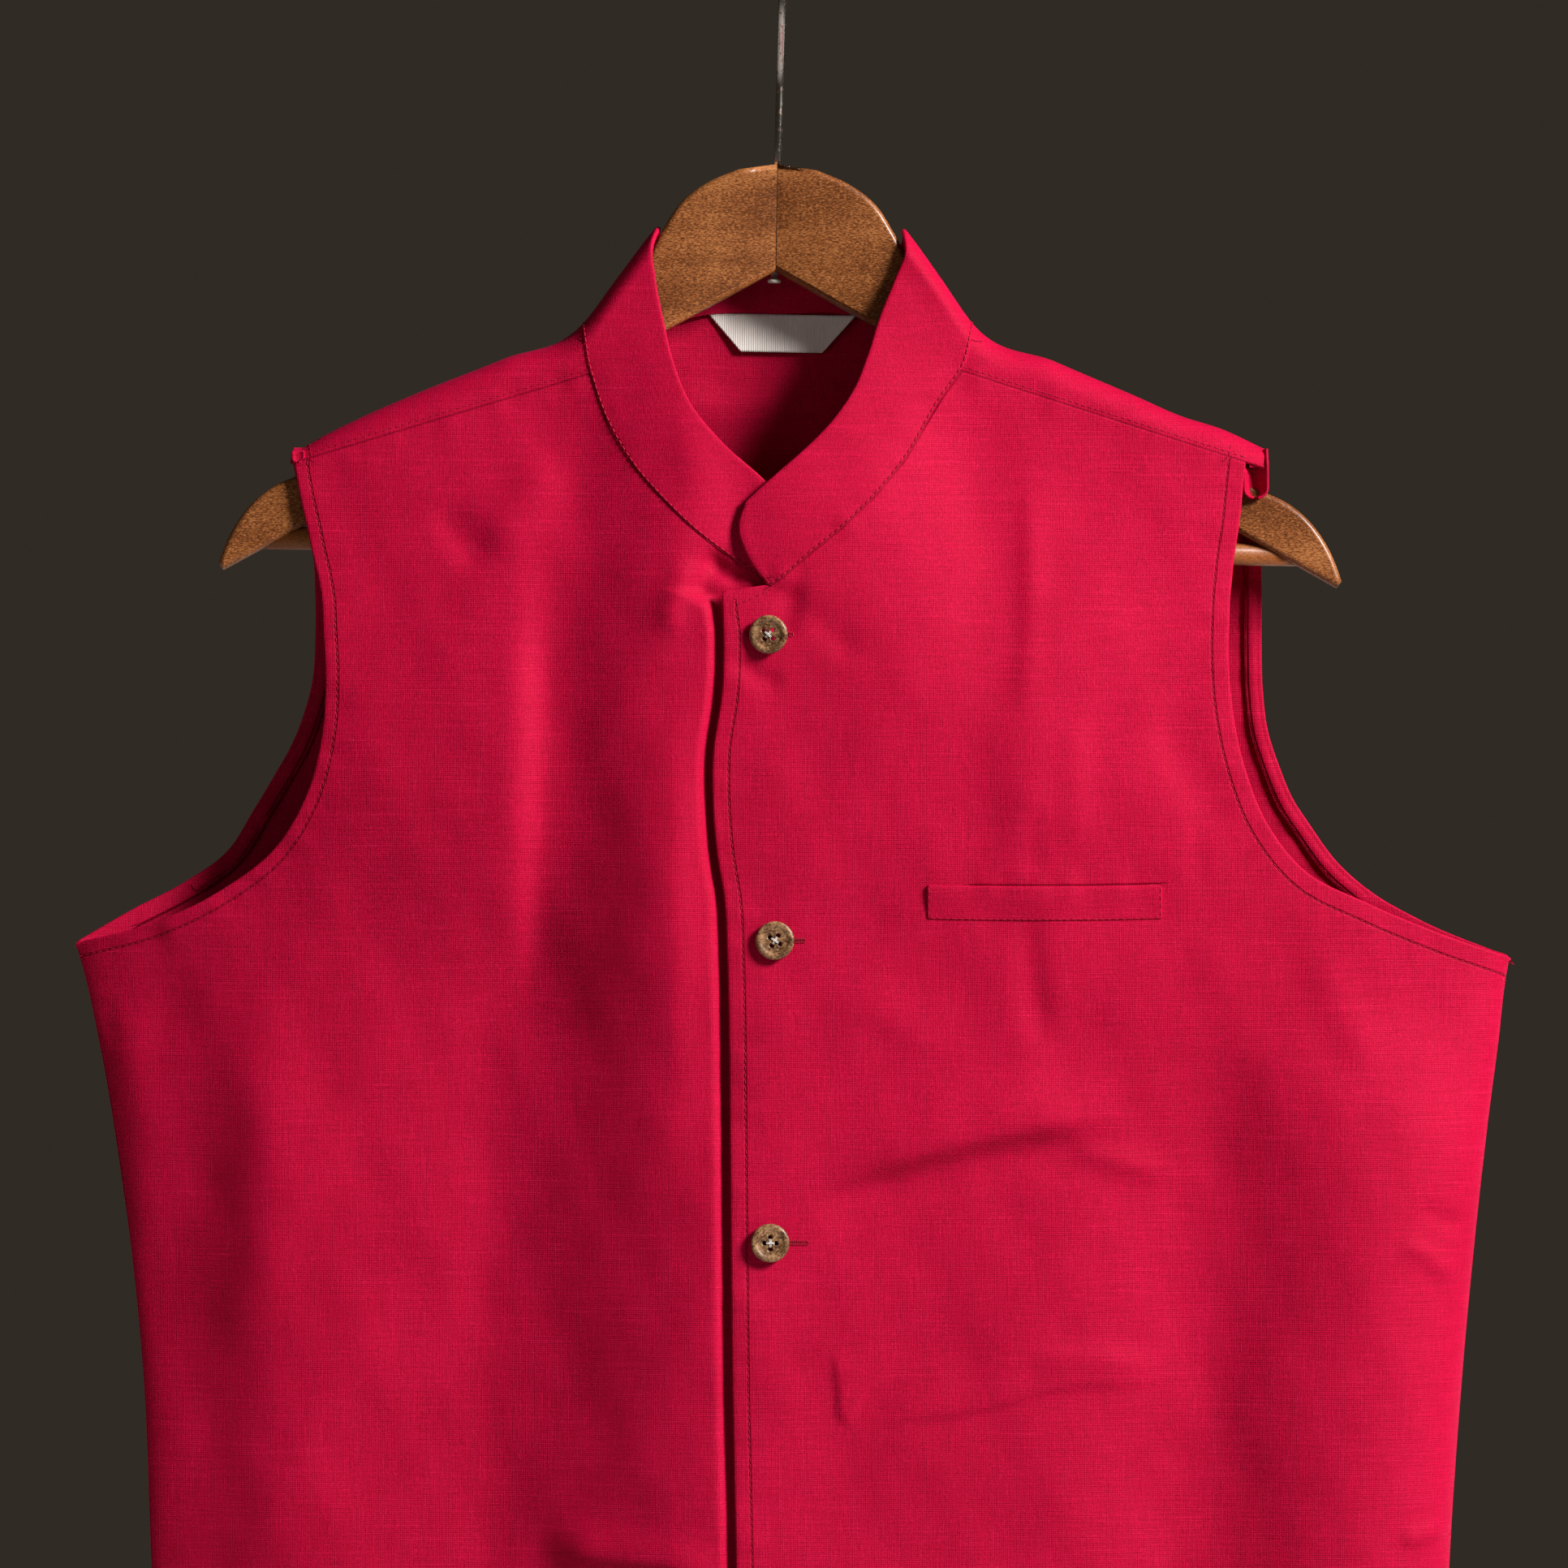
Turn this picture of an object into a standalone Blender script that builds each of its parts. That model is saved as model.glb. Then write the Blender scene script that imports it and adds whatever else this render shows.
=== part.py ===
"""A sleeveless band-collar jacket, buttoned up and hanging on a wooden hanger with a wire hook.

Metres, +Z up, the jacket's front towards -Y. The origin is the bearing point inside the top of the hook.
The cloth panels and the collar lie on two surfaces, one in front of the hanger and one behind it, which meet
along the ridge over the hanger's arms and along the side seams. Each piece is an open sheet on one of them,
given its wall by Solidify, with SEAM_GAP between it and the next.
"""
import math

import bmesh
import bpy
import numpy as np
from mathutils import Matrix, Vector

# Cloth walls and seams
WALL = 0.0012
COLLAR_WALL = 0.0016
TRIM_WALL = 0.0010
SEAM_GAP = 0.0003
COLLAR_GAP = 0.0004
SIDE_FOLD = 0.0015
TIP_GAP = 0.0013

# Depth of the hanging jacket
RIDGE_RADIUS = 0.011
FRONT_DEPTH = 0.034
BACK_DEPTH = 0.022
FRONT_FLARE = 0.180
BACK_FLARE = 0.200
SIDE_POWER = 0.75
UNDERLAP_DROP = 0.0045
UNDERLAP_RUN = 0.016
FOLD_FADE = 0.110

# Heights: the hem, the end of folds that cross it, and a panel's sections as shares up to the underarm
HEM_Z = -0.8605
BELOW_HEM = HEM_Z - 0.120
HEM_TO_UNDERARM = (0.0, 0.12, 0.24, 0.36, 0.48, 0.58, 0.67, 0.75, 0.83, 0.91, 0.985, 1.0)

# Outline of the shoulders and the collar seen from the front: x, z
RIDGE = (
    (-0.2100, -0.2100), (-0.1920, -0.2010), (-0.1780, -0.1930), (-0.1625, -0.1855), (-0.1440, -0.1775),
    (-0.1100, -0.1640), (-0.0790, -0.1505), (-0.0650, -0.1320), (-0.0500, -0.1125), (-0.0025, -0.0850),
    (0.0475, -0.1135), (0.0610, -0.1320), (0.0740, -0.1505), (0.1060, -0.1650), (0.1375, -0.1785),
    (0.1545, -0.1860), (0.1715, -0.1915), (0.1875, -0.1990), (0.2100, -0.2090),
)

# Outline of the sides from hem to underarm, and its line above that, inside the armhole: z, x
LEFT_SIDE = (
    (-0.8605, -0.2380), (-0.7530, -0.2430), (-0.6360, -0.2475), (-0.5500, -0.2515), (-0.4740, -0.2605),
    (-0.4300, -0.2680), (-0.3925, -0.2770), (-0.2000, -0.4310), (-0.0800, -0.5270),
)
RIGHT_SIDE = (
    (-0.8605, 0.2535), (-0.7530, 0.2580), (-0.6360, 0.2610), (-0.5625, 0.2660), (-0.4675, 0.2755),
    (-0.4325, 0.2800), (-0.3985, 0.2845), (-0.2000, 0.4430), (-0.0800, 0.5390),
)
LEFT_UNDERARM_Z = -0.3925
RIGHT_UNDERARM_Z = -0.3985

# Edge of the front that lies on top, from hem to collar point: z, x
PLACKET_EDGE = (
    (-0.8605, -0.0170), (-0.7530, -0.0180), (-0.6360, -0.0185), (-0.5625, -0.0200), (-0.4675, -0.0210),
    (-0.3985, -0.0220), (-0.3755, -0.0230), (-0.3565, -0.0260), (-0.3375, -0.0275), (-0.3185, -0.0275),
    (-0.2930, -0.0240), (-0.2725, -0.0235), (-0.2540, -0.0245), (-0.2400, -0.0165), (-0.1800, -0.0165),
)
UNDERLAP_X = 0.0125
FRONT_COLUMNS = 24

# Sections of the wearer's right front above the underarm: inner x, z and armhole x, z
RIGHT_FRONT_ROWS = (
    (0.0125, -0.3755, -0.2460, -0.3845), (0.0125, -0.3565, -0.2190, -0.3715),
    (0.0125, -0.3375, -0.1985, -0.3555), (0.0125, -0.3185, -0.1865, -0.3360),
    (0.0125, -0.2965, -0.1795, -0.3090), (0.0125, -0.2740, -0.1785, -0.2870),
    (0.0125, -0.2545, -0.1795, -0.2675), (0.0060, -0.2532, -0.1797, -0.2625),
    (-0.0080, -0.2505, -0.1800, -0.2580), (-0.0185, -0.2435, -0.1815, -0.2495),
    (-0.0340, -0.2320, -0.1840, -0.2390), (-0.0465, -0.2200, -0.1860, -0.2295),
    (-0.0580, -0.2070, -0.1880, -0.2210), (-0.0695, -0.1875, -0.1900, -0.2105),
    (-0.0752, -0.1710, -0.1909, -0.2055), (-0.0755, -0.1700, -0.1910, -0.2045),
)
RIGHT_FRONT_NECK_FROM = 7

# Sections of the wearer's left front above the underarm: inner x, z and armhole x, z
LEFT_FRONT_ROWS = (
    (-0.0230, -0.3755, 0.2540, -0.3880), (-0.0260, -0.3565, 0.2265, -0.3765),
    (-0.0275, -0.3375, 0.2030, -0.3645), (-0.0275, -0.3185, 0.1885, -0.3470),
    (-0.0240, -0.2930, 0.1780, -0.3200), (-0.0235, -0.2725, 0.1735, -0.2930),
    (-0.0245, -0.2540, 0.1730, -0.2720), (-0.0080, -0.2525, 0.1733, -0.2660),
    (-0.0035, -0.2515, 0.1735, -0.2600), (0.0090, -0.2415, 0.1745, -0.2495),
    (0.0220, -0.2310, 0.1755, -0.2405), (0.0350, -0.2185, 0.1770, -0.2315),
    (0.0465, -0.2045, 0.1780, -0.2235), (0.0615, -0.1795, 0.1790, -0.2130),
    (0.0684, -0.1700, 0.1799, -0.2055), (0.0690, -0.1690, 0.1800, -0.2045),
)
LEFT_FRONT_NECK_FROM = 7

# Sections of the back from the shoulder's ridge to the underarm: left x, z, right x, z and share of the slope
BACK_ROWS = (
    (-0.1920, -0.2010, 0.1875, -0.1990, 1.00), (-0.1920, -0.2018, 0.1875, -0.1998, 1.00),
    (-0.1915, -0.2040, 0.1875, -0.2020, 1.00), (-0.1910, -0.2075, 0.1875, -0.2055, 1.00),
    (-0.1900, -0.2120, 0.1875, -0.2100, 1.00), (-0.1885, -0.2200, 0.1875, -0.2185, 0.97),
    (-0.1840, -0.2380, 0.1865, -0.2390, 0.85), (-0.1830, -0.2550, 0.1865, -0.2580, 0.70),
    (-0.1830, -0.2720, 0.1865, -0.2755, 0.55), (-0.1840, -0.2890, 0.1870, -0.2930, 0.40),
    (-0.1875, -0.3025, 0.1890, -0.3090, 0.28), (-0.1925, -0.3150, 0.1935, -0.3230, 0.18),
    (-0.1995, -0.3275, 0.1990, -0.3360, 0.10), (-0.2075, -0.3410, 0.2065, -0.3475, 0.05),
    (-0.2175, -0.3565, 0.2160, -0.3605, 0.00), (-0.2330, -0.3680, 0.2295, -0.3725, 0.00),
    (-0.2555, -0.3800, 0.2485, -0.3835, 0.00),
)
# Columns across the back, as shares of its width from the left; the neck lies between the two in NECK_COLUMNS
BACK_COLUMNS = (
    0.0, 0.006, 0.05, 0.11, 0.17, 0.235, 0.298, 0.335, 0.375, 0.43, 0.50, 0.57, 0.62, 0.665, 0.701,
    0.765, 0.83, 0.89, 0.95, 0.994, 1.0,
)
NECK_COLUMNS = (6, 14)
# Row of BACK_ROWS where the neckline turns from those columns across the back, and its height there
NECK_ROW = 3
NECK_SEAM = (
    (-0.0790, -0.1570), (-0.0650, -0.1560), (-0.0500, -0.1520), (-0.0300, -0.1463), (-0.0025, -0.1460),
    (0.0240, -0.1463), (0.0430, -0.1520), (0.0600, -0.1560), (0.0740, -0.1570),
)
# Rows of the shoulder flap, as shares of the way from the ridge to the forward shoulder seam
FLAP_ROWS = (0.05, 0.18, 0.38, 0.66, 0.94, 1.0)
# Ends of the forward shoulder seams: neck x, z and armhole x, z
LEFT_SHOULDER_SEAM = (-0.0755, -0.1700, -0.1910, -0.2045)
RIGHT_SHOULDER_SEAM = (0.0690, -0.1690, 0.1800, -0.2045)

# Top edge of the collar from its front end to the ridge on each side, and behind the neck: x, z
COLLAR_TOP_RIGHT = (
    (-0.0085, -0.2145), (0.0055, -0.2030), (0.0185, -0.1900), (0.0275, -0.1770), (0.0330, -0.1635),
    (0.0380, -0.1480), (0.0435, -0.1345), (0.0480, -0.1215), (0.0475, -0.1135),
)
COLLAR_TOP_LEFT = (
    (0.0060, -0.2265), (-0.0085, -0.2120), (-0.0240, -0.1980), (-0.0375, -0.1810), (-0.0440, -0.1645),
    (-0.0475, -0.1500), (-0.0510, -0.1315), (-0.0520, -0.1190), (-0.0500, -0.1125),
)
COLLAR_TOP_BACK = (
    (0.0475, -0.1135), (0.0480, -0.1160), (0.0470, -0.1185), (0.0380, -0.1175),
    (0.0300, -0.1130), (-0.0025, -0.1100), (-0.0335, -0.1125), (-0.0410, -0.1170),
    (-0.0495, -0.1178), (-0.0505, -0.1150), (-0.0500, -0.1125),
)
# Rounded front end of the collar, from the neck seam up: x, z
COLLAR_END = ((-0.0080, -0.2522), (-0.0140, -0.2400), (-0.0170, -0.2290), (-0.0145, -0.2205))
COLLAR_STRIPS = 3

# Large folds: face (-1 front, +1 back), x at the top, x at the hem, top z, low z, half width, height outwards
FOLDS = (
    (-1, -0.0845, -0.0860, -0.2150, BELOW_HEM, 0.0210, -0.0070),
    (-1, -0.0447, -0.0430, -0.2600, BELOW_HEM, 0.0160, 0.0030),
    (-1, -0.1160, -0.1200, -0.2300, -0.7400, 0.0180, 0.0025),
    (-1, -0.2200, -0.2280, -0.3900, -0.6400, 0.0130, -0.0045),
    (-1, 0.1640, 0.1620, -0.3900, BELOW_HEM, 0.0270, -0.0050),
    (-1, 0.2200, 0.2120, -0.4200, BELOW_HEM, 0.0200, 0.0025),
    (-1, 0.0950, 0.0990, -0.2300, -0.4700, 0.0150, 0.0020),
    (1, -0.1080, -0.1150, -0.2700, BELOW_HEM, 0.0260, -0.0055),
    (1, 0.0150, 0.0050, -0.3000, BELOW_HEM, 0.0300, 0.0040),
    (1, 0.1240, 0.1300, -0.2900, BELOW_HEM, 0.0240, -0.0050),
)

# Chest welt: its length along x, height, middle x and z
WELT_LENGTH = 0.0900
WELT_HEIGHT = 0.0122
WELT_X = 0.1010
WELT_Z = -0.3757
WELT_COLUMNS = 9

# Neck label
LABEL_TOP_WIDTH = 0.0580
LABEL_LOW_WIDTH = 0.0320
LABEL_HEIGHT = 0.0148
LABEL_X = -0.0010
LABEL_TOP_Z = -0.1471
LABEL_COLUMNS = 7

# Facing strips inside the back's armholes
FACING_WIDTH = 0.0060
FACING_ROWS = (5, 16)

# Buttons: x, z, turn of the holes in degrees, tilt about x and about z in degrees
BUTTONS = (
    (-0.0060, -0.2720, 4.0, 3.0, -9.0),
    (-0.0035, -0.3905, 12.0, 0.0, 0.0),
    (-0.0055, -0.5075, 45.0, 0.0, 0.0),
    (-0.0060, -0.6410, 20.0, 0.0, 0.0),
    (-0.0055, -0.7625, 0.0, 0.0, 0.0),
)
BUTTON_RADIUS = 0.0075
BUTTON_THICKNESS = 0.0026
BUTTON_RIM = 0.0016
BUTTON_DISH = 0.0005
BUTTON_LIFT = 0.0004
BUTTON_STEPS = 24
HOLE_RADIUS = 0.0009
HOLE_PITCH = 0.0032
HOLE_SIDES = 10
# Button's section from the middle of its face round the rim to the middle of its underside:
# distance in from the edge in rim widths (none on the axis), height in half thicknesses, sunk by the dish
BUTTON_SECTION = (
    (None, 1.0, True), (2.0, 1.0, True), (1.4, 1.0, False), (0.3, 1.0, False),
    (0.0, 0.4, False), (0.5, -0.8, False), (1.0, -1.0, False), (None, -1.0, False),
)
# Distance over which the cloth's slope under a button is taken
SLOPE_REACH = 0.0030

# Hanger: wood
WOOD_X = -0.0025
WOOD_Z = -0.0880
WOOD_TILT = math.radians(0.95)
WOOD_HALF_THICKNESS = 0.0060
WOOD_ROUNDING = 0.0020
RIGHT_REACH = 1.033
# Upper edge of an arm in the hanger's own frame, from the middle out: distance out, distance down
ARM_TOP = (
    (0.0150, 0.0022), (0.0270, 0.0074), (0.0370, 0.0150), (0.0444, 0.0262), (0.0535, 0.0438),
    (0.0640, 0.0585), (0.0760, 0.0690), (0.0950, 0.0782), (0.1400, 0.0998), (0.1858, 0.1248),
    (0.1950, 0.1292), (0.2026, 0.1354), (0.2080, 0.1423), (0.2127, 0.1512), (0.2156, 0.1591),
    (0.2140, 0.1620),
)
ARM_MIDDLE_HEIGHT = 0.0418

# Hanger: bar
BAR_RADIUS = 0.0045
BAR_DOWN = 0.1490
BAR_REACH = 0.2030
BAR_SIDES = 24

# Hanger: hook
WIRE_RADIUS = 0.0015
BORE_SIDES = 16
HOOK_INSIDE_RADIUS = 0.0200
HOOK_TIP_ANGLE = math.radians(-35.0)
HOOK_START_ANGLE = math.radians(222.0)
HOOK_STEPS = 22
HOOK_NECK_Z = -0.0600
NECK_HANDLE = 0.0100
NECK_STEPS = 6
SHANK_END_Z = -0.1330
SHANK_NUT_RADIUS = 0.0026
SHANK_NUT_HEIGHT = 0.0016
SHANK_NUT_SHARE_BELOW = 0.8

# Points nearer than this are one point
WELD = 0.00002

# Colours
CLOTH_COLOUR = (0.56, 0.010, 0.055, 1.0)
WOOD_COLOUR = (0.30, 0.115, 0.040, 1.0)
STEEL_COLOUR = (0.62, 0.60, 0.58, 1.0)
BUTTON_COLOUR = (0.33, 0.20, 0.10, 1.0)
LABEL_COLOUR = (0.78, 0.74, 0.66, 1.0)


def along(table, at):
    """Reads a smooth curve through a table's two columns, straight past its ends."""
    keys = np.array([row[0] for row in table])
    values = np.array([row[1] for row in table])
    slopes = np.gradient(values, keys)
    at = np.asarray(at, dtype=float)
    i = np.clip(np.searchsorted(keys, at) - 1, 0, len(keys) - 2)
    span = keys[i + 1] - keys[i]
    t = (at - keys[i]) / span
    u = np.clip(t, 0.0, 1.0)
    inside = (
        values[i] * (2 * u**3 - 3 * u**2 + 1) + values[i + 1] * (3 * u**2 - 2 * u**3)
        + span * (slopes[i] * (u**3 - 2 * u**2 + u) + slopes[i + 1] * (u**3 - u**2))
    )
    return inside + (t - u) * span * np.where(t < 0.0, slopes[0], slopes[-1])


def smooth_step(t):
    """Rises from 0 to 1 with level ends."""
    t = np.clip(t, 0.0, 1.0)
    return t * t * (3.0 - 2.0 * t)


def side_share(x, z):
    """Is 1 over the middle of the jacket and falls to 0 at its side seams."""
    left = along(LEFT_SIDE, z)
    right = along(RIGHT_SIDE, z)
    s = np.clip((2.0 * x - left - right) / (right - left), -1.0, 1.0)
    return (1.0 - s * s) ** SIDE_POWER


def fold_height(face, x, z):
    """Adds up the large folds of one face of the jacket."""
    total = np.zeros_like(x)
    for side, top_x, hem_x, top_z, low_z, half_width, height in FOLDS:
        if side != face:
            continue
        middle = top_x + (hem_x - top_x) * (z - top_z) / (HEM_Z - top_z)
        fade = smooth_step((top_z - z) / FOLD_FADE) * smooth_step((z - low_z) / FOLD_FADE)
        total = total + height * fade * np.exp(-(((x - middle) / half_width) ** 2))
    return total


def depth(face, x, z):
    """Gives the distance of the jacket's outside from the plane of the hanger, in front or behind."""
    x = np.asarray(x, dtype=float)
    z = np.asarray(z, dtype=float)
    full, flare = (FRONT_DEPTH, FRONT_FLARE) if face < 0 else (BACK_DEPTH, BACK_FLARE)
    below = np.maximum(along(RIDGE, x) - z, 0.0)
    roll = RIDGE_RADIUS * np.sqrt(1.0 - (1.0 - np.minimum(below / RIDGE_RADIUS, 1.0)) ** 2)
    open_depth = roll + (full - RIDGE_RADIUS) * smooth_step(below / flare)
    shaped = np.minimum(open_depth, SIDE_FOLD) + np.maximum(open_depth - SIDE_FOLD, 0.0) * side_share(x, z)
    return shaped + fold_height(face, x, z) * side_share(x, z)


def underlap_drop(x, z):
    """Lets the front that lies below sink behind the edge of the other one."""
    start = along(PLACKET_EDGE, z) - UNDERLAP_RUN
    return UNDERLAP_DROP * smooth_step((x - start) / UNDERLAP_RUN)


def on_front(x, z, outwards=0.0, below=False):
    """Stacks points of the front surface, of the lower front where below is set."""
    drop = underlap_drop(x, z) if below else 0.0
    return np.stack([x, -(depth(-1, x, z) - drop + outwards), z], axis=-1)


def on_back(x, z, outwards=0.0):
    """Stacks points of the back surface."""
    return np.stack([x, depth(1, x, z) + outwards, z], axis=-1)


def material(name, colour, roughness, metallic=0.0):
    """Makes a Principled material."""
    made = bpy.data.materials.new(name)
    made.use_nodes = True
    shader = made.node_tree.nodes["Principled BSDF"]
    shader.inputs["Base Color"].default_value = colour
    shader.inputs["Roughness"].default_value = roughness
    shader.inputs["Metallic"].default_value = metallic
    return made


def clear_scene():
    """Removes what the scene holds."""
    for old in list(bpy.data.objects):
        bpy.data.objects.remove(old, do_unlink=True)


def new_collection(name):
    """Makes a collection in the scene."""
    made = bpy.data.collections.new(name)
    bpy.context.scene.collection.children.link(made)
    return made


def add_object(name, data, collection, colour=None, roughness=0.8, metallic=0.0):
    """Puts mesh or curve data into the model, with its own material where a colour is given."""
    made = bpy.data.objects.new(name, data)
    collection.objects.link(made)
    if colour:
        data.materials.append(material(name + "_material", colour, roughness, metallic))
    return made


def sheet(name, points, collection, flip, wall=WALL, colour=CLOTH_COLOUR):
    """Lofts rows of points into an open sheet and gives it its wall; points with no number are left out."""
    rows, columns = points.shape[:2]
    numbers = {}
    verts = []
    for r in range(rows):
        for c in range(columns):
            if not np.isnan(points[r, c, 0]):
                numbers[r, c] = len(verts)
                verts.append(tuple(points[r, c]))
    faces = []
    for r in range(rows - 1):
        for c in range(columns - 1):
            corners = [(r, c), (r, c + 1), (r + 1, c + 1), (r + 1, c)]
            if all(corner in numbers for corner in corners):
                face = [numbers[corner] for corner in corners]
                faces.append(face[::-1] if flip else face)
    mesh = bpy.data.meshes.new(name)
    mesh.from_pydata(verts, [], faces)
    mesh.shade_smooth()
    made = add_object(name, mesh, collection, colour)
    thick = made.modifiers.new("Wall", "SOLIDIFY")
    thick.thickness = wall
    thick.offset = -1.0
    return made


def body_rows(underarm_z):
    """Gives the heights of a panel's sections from hem to underarm."""
    return [HEM_Z + (underarm_z - HEM_Z) * share for share in HEM_TO_UNDERARM]


def front_points(rows, side_table, underarm_z, inner_x, below):
    """Makes a front's points: sections from its inner edge to its side seam or armhole."""
    sections = []
    for z in body_rows(underarm_z):
        edge = float(along(PLACKET_EDGE, z)) if inner_x is None else inner_x
        sections.append((edge, z, float(along(side_table, z)), z))
    at_side = len(sections)
    sections.extend(rows)
    points = []
    for number, (in_x, in_z, out_x, out_z) in enumerate(sections):
        width = abs(out_x - in_x)
        last = 1.0 if number < at_side else 1.0 - SIDE_FOLD / width
        shares = np.append(np.linspace(0.0, last, FRONT_COLUMNS), 1.0)
        line = on_front(in_x + (out_x - in_x) * shares, in_z + (out_z - in_z) * shares, below=below)
        if number < at_side:
            line[-1, 1] = -SEAM_GAP / 2.0 if number < at_side - 1 else -TIP_GAP
        points.append(line)
    return np.array(points)


def back_points():
    """Makes the back's points, with the flaps that run over the shoulders to the forward seams."""
    shares = np.array(BACK_COLUMNS)
    first, last = NECK_COLUMNS
    top = BACK_ROWS[0]
    top_x = top[0] + (top[2] - top[0]) * shares
    top_z = along(RIDGE, top_x)
    neck = np.arange(first + 1, last)
    top_z[neck] = along(NECK_SEAM, top_x[neck])
    level = np.full_like(shares, top[1]) + (top[3] - top[1]) * shares
    neck_row = BACK_ROWS[NECK_ROW]
    level[neck] = (neck_row[1] + (neck_row[3] - neck_row[1]) * shares)[neck]
    roof = top_z - level
    lines = []
    for number, (left_x, left_z, right_x, right_z, slope_share) in enumerate(BACK_ROWS):
        z = left_z + (right_z - left_z) * shares + roof * slope_share
        line = on_back(left_x + (right_x - left_x) * shares, z)
        if number < NECK_ROW:
            line[neck] = np.nan
        lines.append(line)
    heights = zip(body_rows(LEFT_UNDERARM_Z)[::-1], body_rows(RIGHT_UNDERARM_Z)[::-1])
    for number, (left_z, right_z) in enumerate(heights):
        left_x = float(along(LEFT_SIDE, left_z))
        right_x = float(along(RIGHT_SIDE, right_z))
        across = shares.copy()
        across[1] = 0.0
        across[-2] = 1.0
        line = on_back(left_x + (right_x - left_x) * across, left_z + (right_z - left_z) * across)
        half_gap = SEAM_GAP / 2.0 if number else TIP_GAP
        line[0, 1] = half_gap
        line[-1, 1] = half_gap
        lines.append(line)
    flaps = []
    for share in FLAP_ROWS:
        line = np.full((len(shares), 3), np.nan)
        left_columns = np.arange(0, first + 1)
        right_columns = np.arange(last, len(shares))
        for group, seam in ((left_columns, LEFT_SHOULDER_SEAM), (right_columns, RIGHT_SHOULDER_SEAM)):
            neck_x, neck_z, arm_x, arm_z = seam
            start_x = lines[0][group, 0]
            start_z = along(RIDGE, start_x)
            inner = start_x[-1] if group[0] == 0 else start_x[0]
            outer = start_x[0] if group[0] == 0 else start_x[-1]
            way = (start_x - inner) / (outer - inner)
            end_x = neck_x + (start_x[0 if group[0] == 0 else -1] - neck_x) * way
            end_z = neck_z + (arm_z - neck_z) * (end_x - neck_x) / (arm_x - neck_x) + SEAM_GAP
            x = start_x + (end_x - start_x) * share
            line[group] = on_front(x, start_z + (end_z - start_z) * share)
        flaps.append(line)
    return np.array(flaps[::-1] + lines)


def curve_at(table, shares):
    """Reads a table of x, z points at shares of its length."""
    points = np.array(table)
    steps = np.hypot(*np.diff(points, axis=0).T)
    lengths = np.concatenate([[0.0], np.cumsum(steps)])
    x = along(list(zip(lengths, points[:, 0])), shares * lengths[-1])
    z = along(list(zip(lengths, points[:, 1])), shares * lengths[-1])
    return np.stack([x, z], axis=-1)


def length_shares(points):
    """Gives each point's share of the way along a line of points."""
    steps = np.linalg.norm(np.diff(points, axis=0), axis=1)
    lengths = np.concatenate([[0.0], np.cumsum(steps)])
    return lengths / lengths[-1]


def collar_points(right_front, left_front, back):
    """Makes the collar's points on the very seam points of the panels below it."""
    flap = len(FLAP_ROWS)
    first, last = NECK_COLUMNS
    body = len(HEM_TO_UNDERARM)
    right_side = np.concatenate([
        left_front[body + LEFT_FRONT_NECK_FROM:, 0], back[1:flap + 1, last],
    ])
    neck_line = flap + NECK_ROW
    behind = np.concatenate([
        back[flap:neck_line, last], back[neck_line, first:last + 1][::-1], back[flap:neck_line, first][::-1],
    ])
    left_side = np.concatenate([
        right_front[body + RIGHT_FRONT_NECK_FROM:, 0], back[1:flap + 1, first],
    ])
    parts = (
        (right_side, COLLAR_TOP_RIGHT, -1, False),
        (behind, COLLAR_TOP_BACK, 1, False),
        (left_side, COLLAR_TOP_LEFT, -1, True),
    )
    stations = []
    for seam, top_table, face, below in parts:
        top = curve_at(top_table, length_shares(seam))
        start = seam[:, [0, 2]]
        way = top - start
        start = start + COLLAR_GAP * way / np.linalg.norm(way, axis=1)[:, None]
        start_below = along(RIDGE, start[:, 0]) - start[:, 1]
        top_below = along(RIDGE, top[:, 0]) - top[:, 1]
        columns = []
        for share in np.linspace(0.0, 1.0, COLLAR_STRIPS + 1):
            x = start[:, 0] + (top[:, 0] - start[:, 0]) * share
            z = along(RIDGE, x) - start_below - (top_below - start_below) * share
            columns.append(on_front(x, z, below=below) if face < 0 else on_back(x, z))
        block = np.stack(columns, axis=1)
        if below:
            block = block[::-1]
        if stations:
            block = block[1:]
        stations.extend(block)
    end = np.array(COLLAR_END)
    stations[0] = on_front(end[:, 0], end[:, 1])
    return np.array(stations)


def build_cloth(collection):
    """Makes the panels, the collar and what lies on them."""
    right_front = front_points(RIGHT_FRONT_ROWS, LEFT_SIDE, LEFT_UNDERARM_Z, UNDERLAP_X, True)
    left_front = front_points(LEFT_FRONT_ROWS, RIGHT_SIDE, RIGHT_UNDERARM_Z, None, False)
    back = back_points()
    sheet("right_front", right_front, collection, True)
    sheet("left_front", left_front, collection, False)
    sheet("back", back, collection, False)
    collar = collar_points(right_front, left_front, back)
    sheet("collar", collar, collection, True, COLLAR_WALL)
    build_facings(collection)
    build_welt(collection)
    build_label(collection)


def build_facings(collection):
    """Makes the strips that finish the back's armholes inside."""
    rows = BACK_ROWS[FACING_ROWS[0]:FACING_ROWS[1]]
    for name, x_column, z_column, inwards in (("left", 0, 1, 1.0), ("right", 2, 3, -1.0)):
        edge = np.array([(row[x_column], row[z_column]) for row in rows])
        heading = np.gradient(edge, axis=0)
        heading = heading / np.linalg.norm(heading, axis=1)[:, None]
        across = inwards * np.stack([-heading[:, 1], heading[:, 0]], axis=1)
        columns = []
        for reach in (SEAM_GAP, FACING_WIDTH / 2.0, FACING_WIDTH):
            spot = edge + across * reach
            columns.append(on_back(spot[:, 0], spot[:, 1], -WALL - SEAM_GAP))
        points = np.stack(columns, axis=1)
        sheet("armhole_facing_" + name, points, collection, name == "right", TRIM_WALL)


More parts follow.
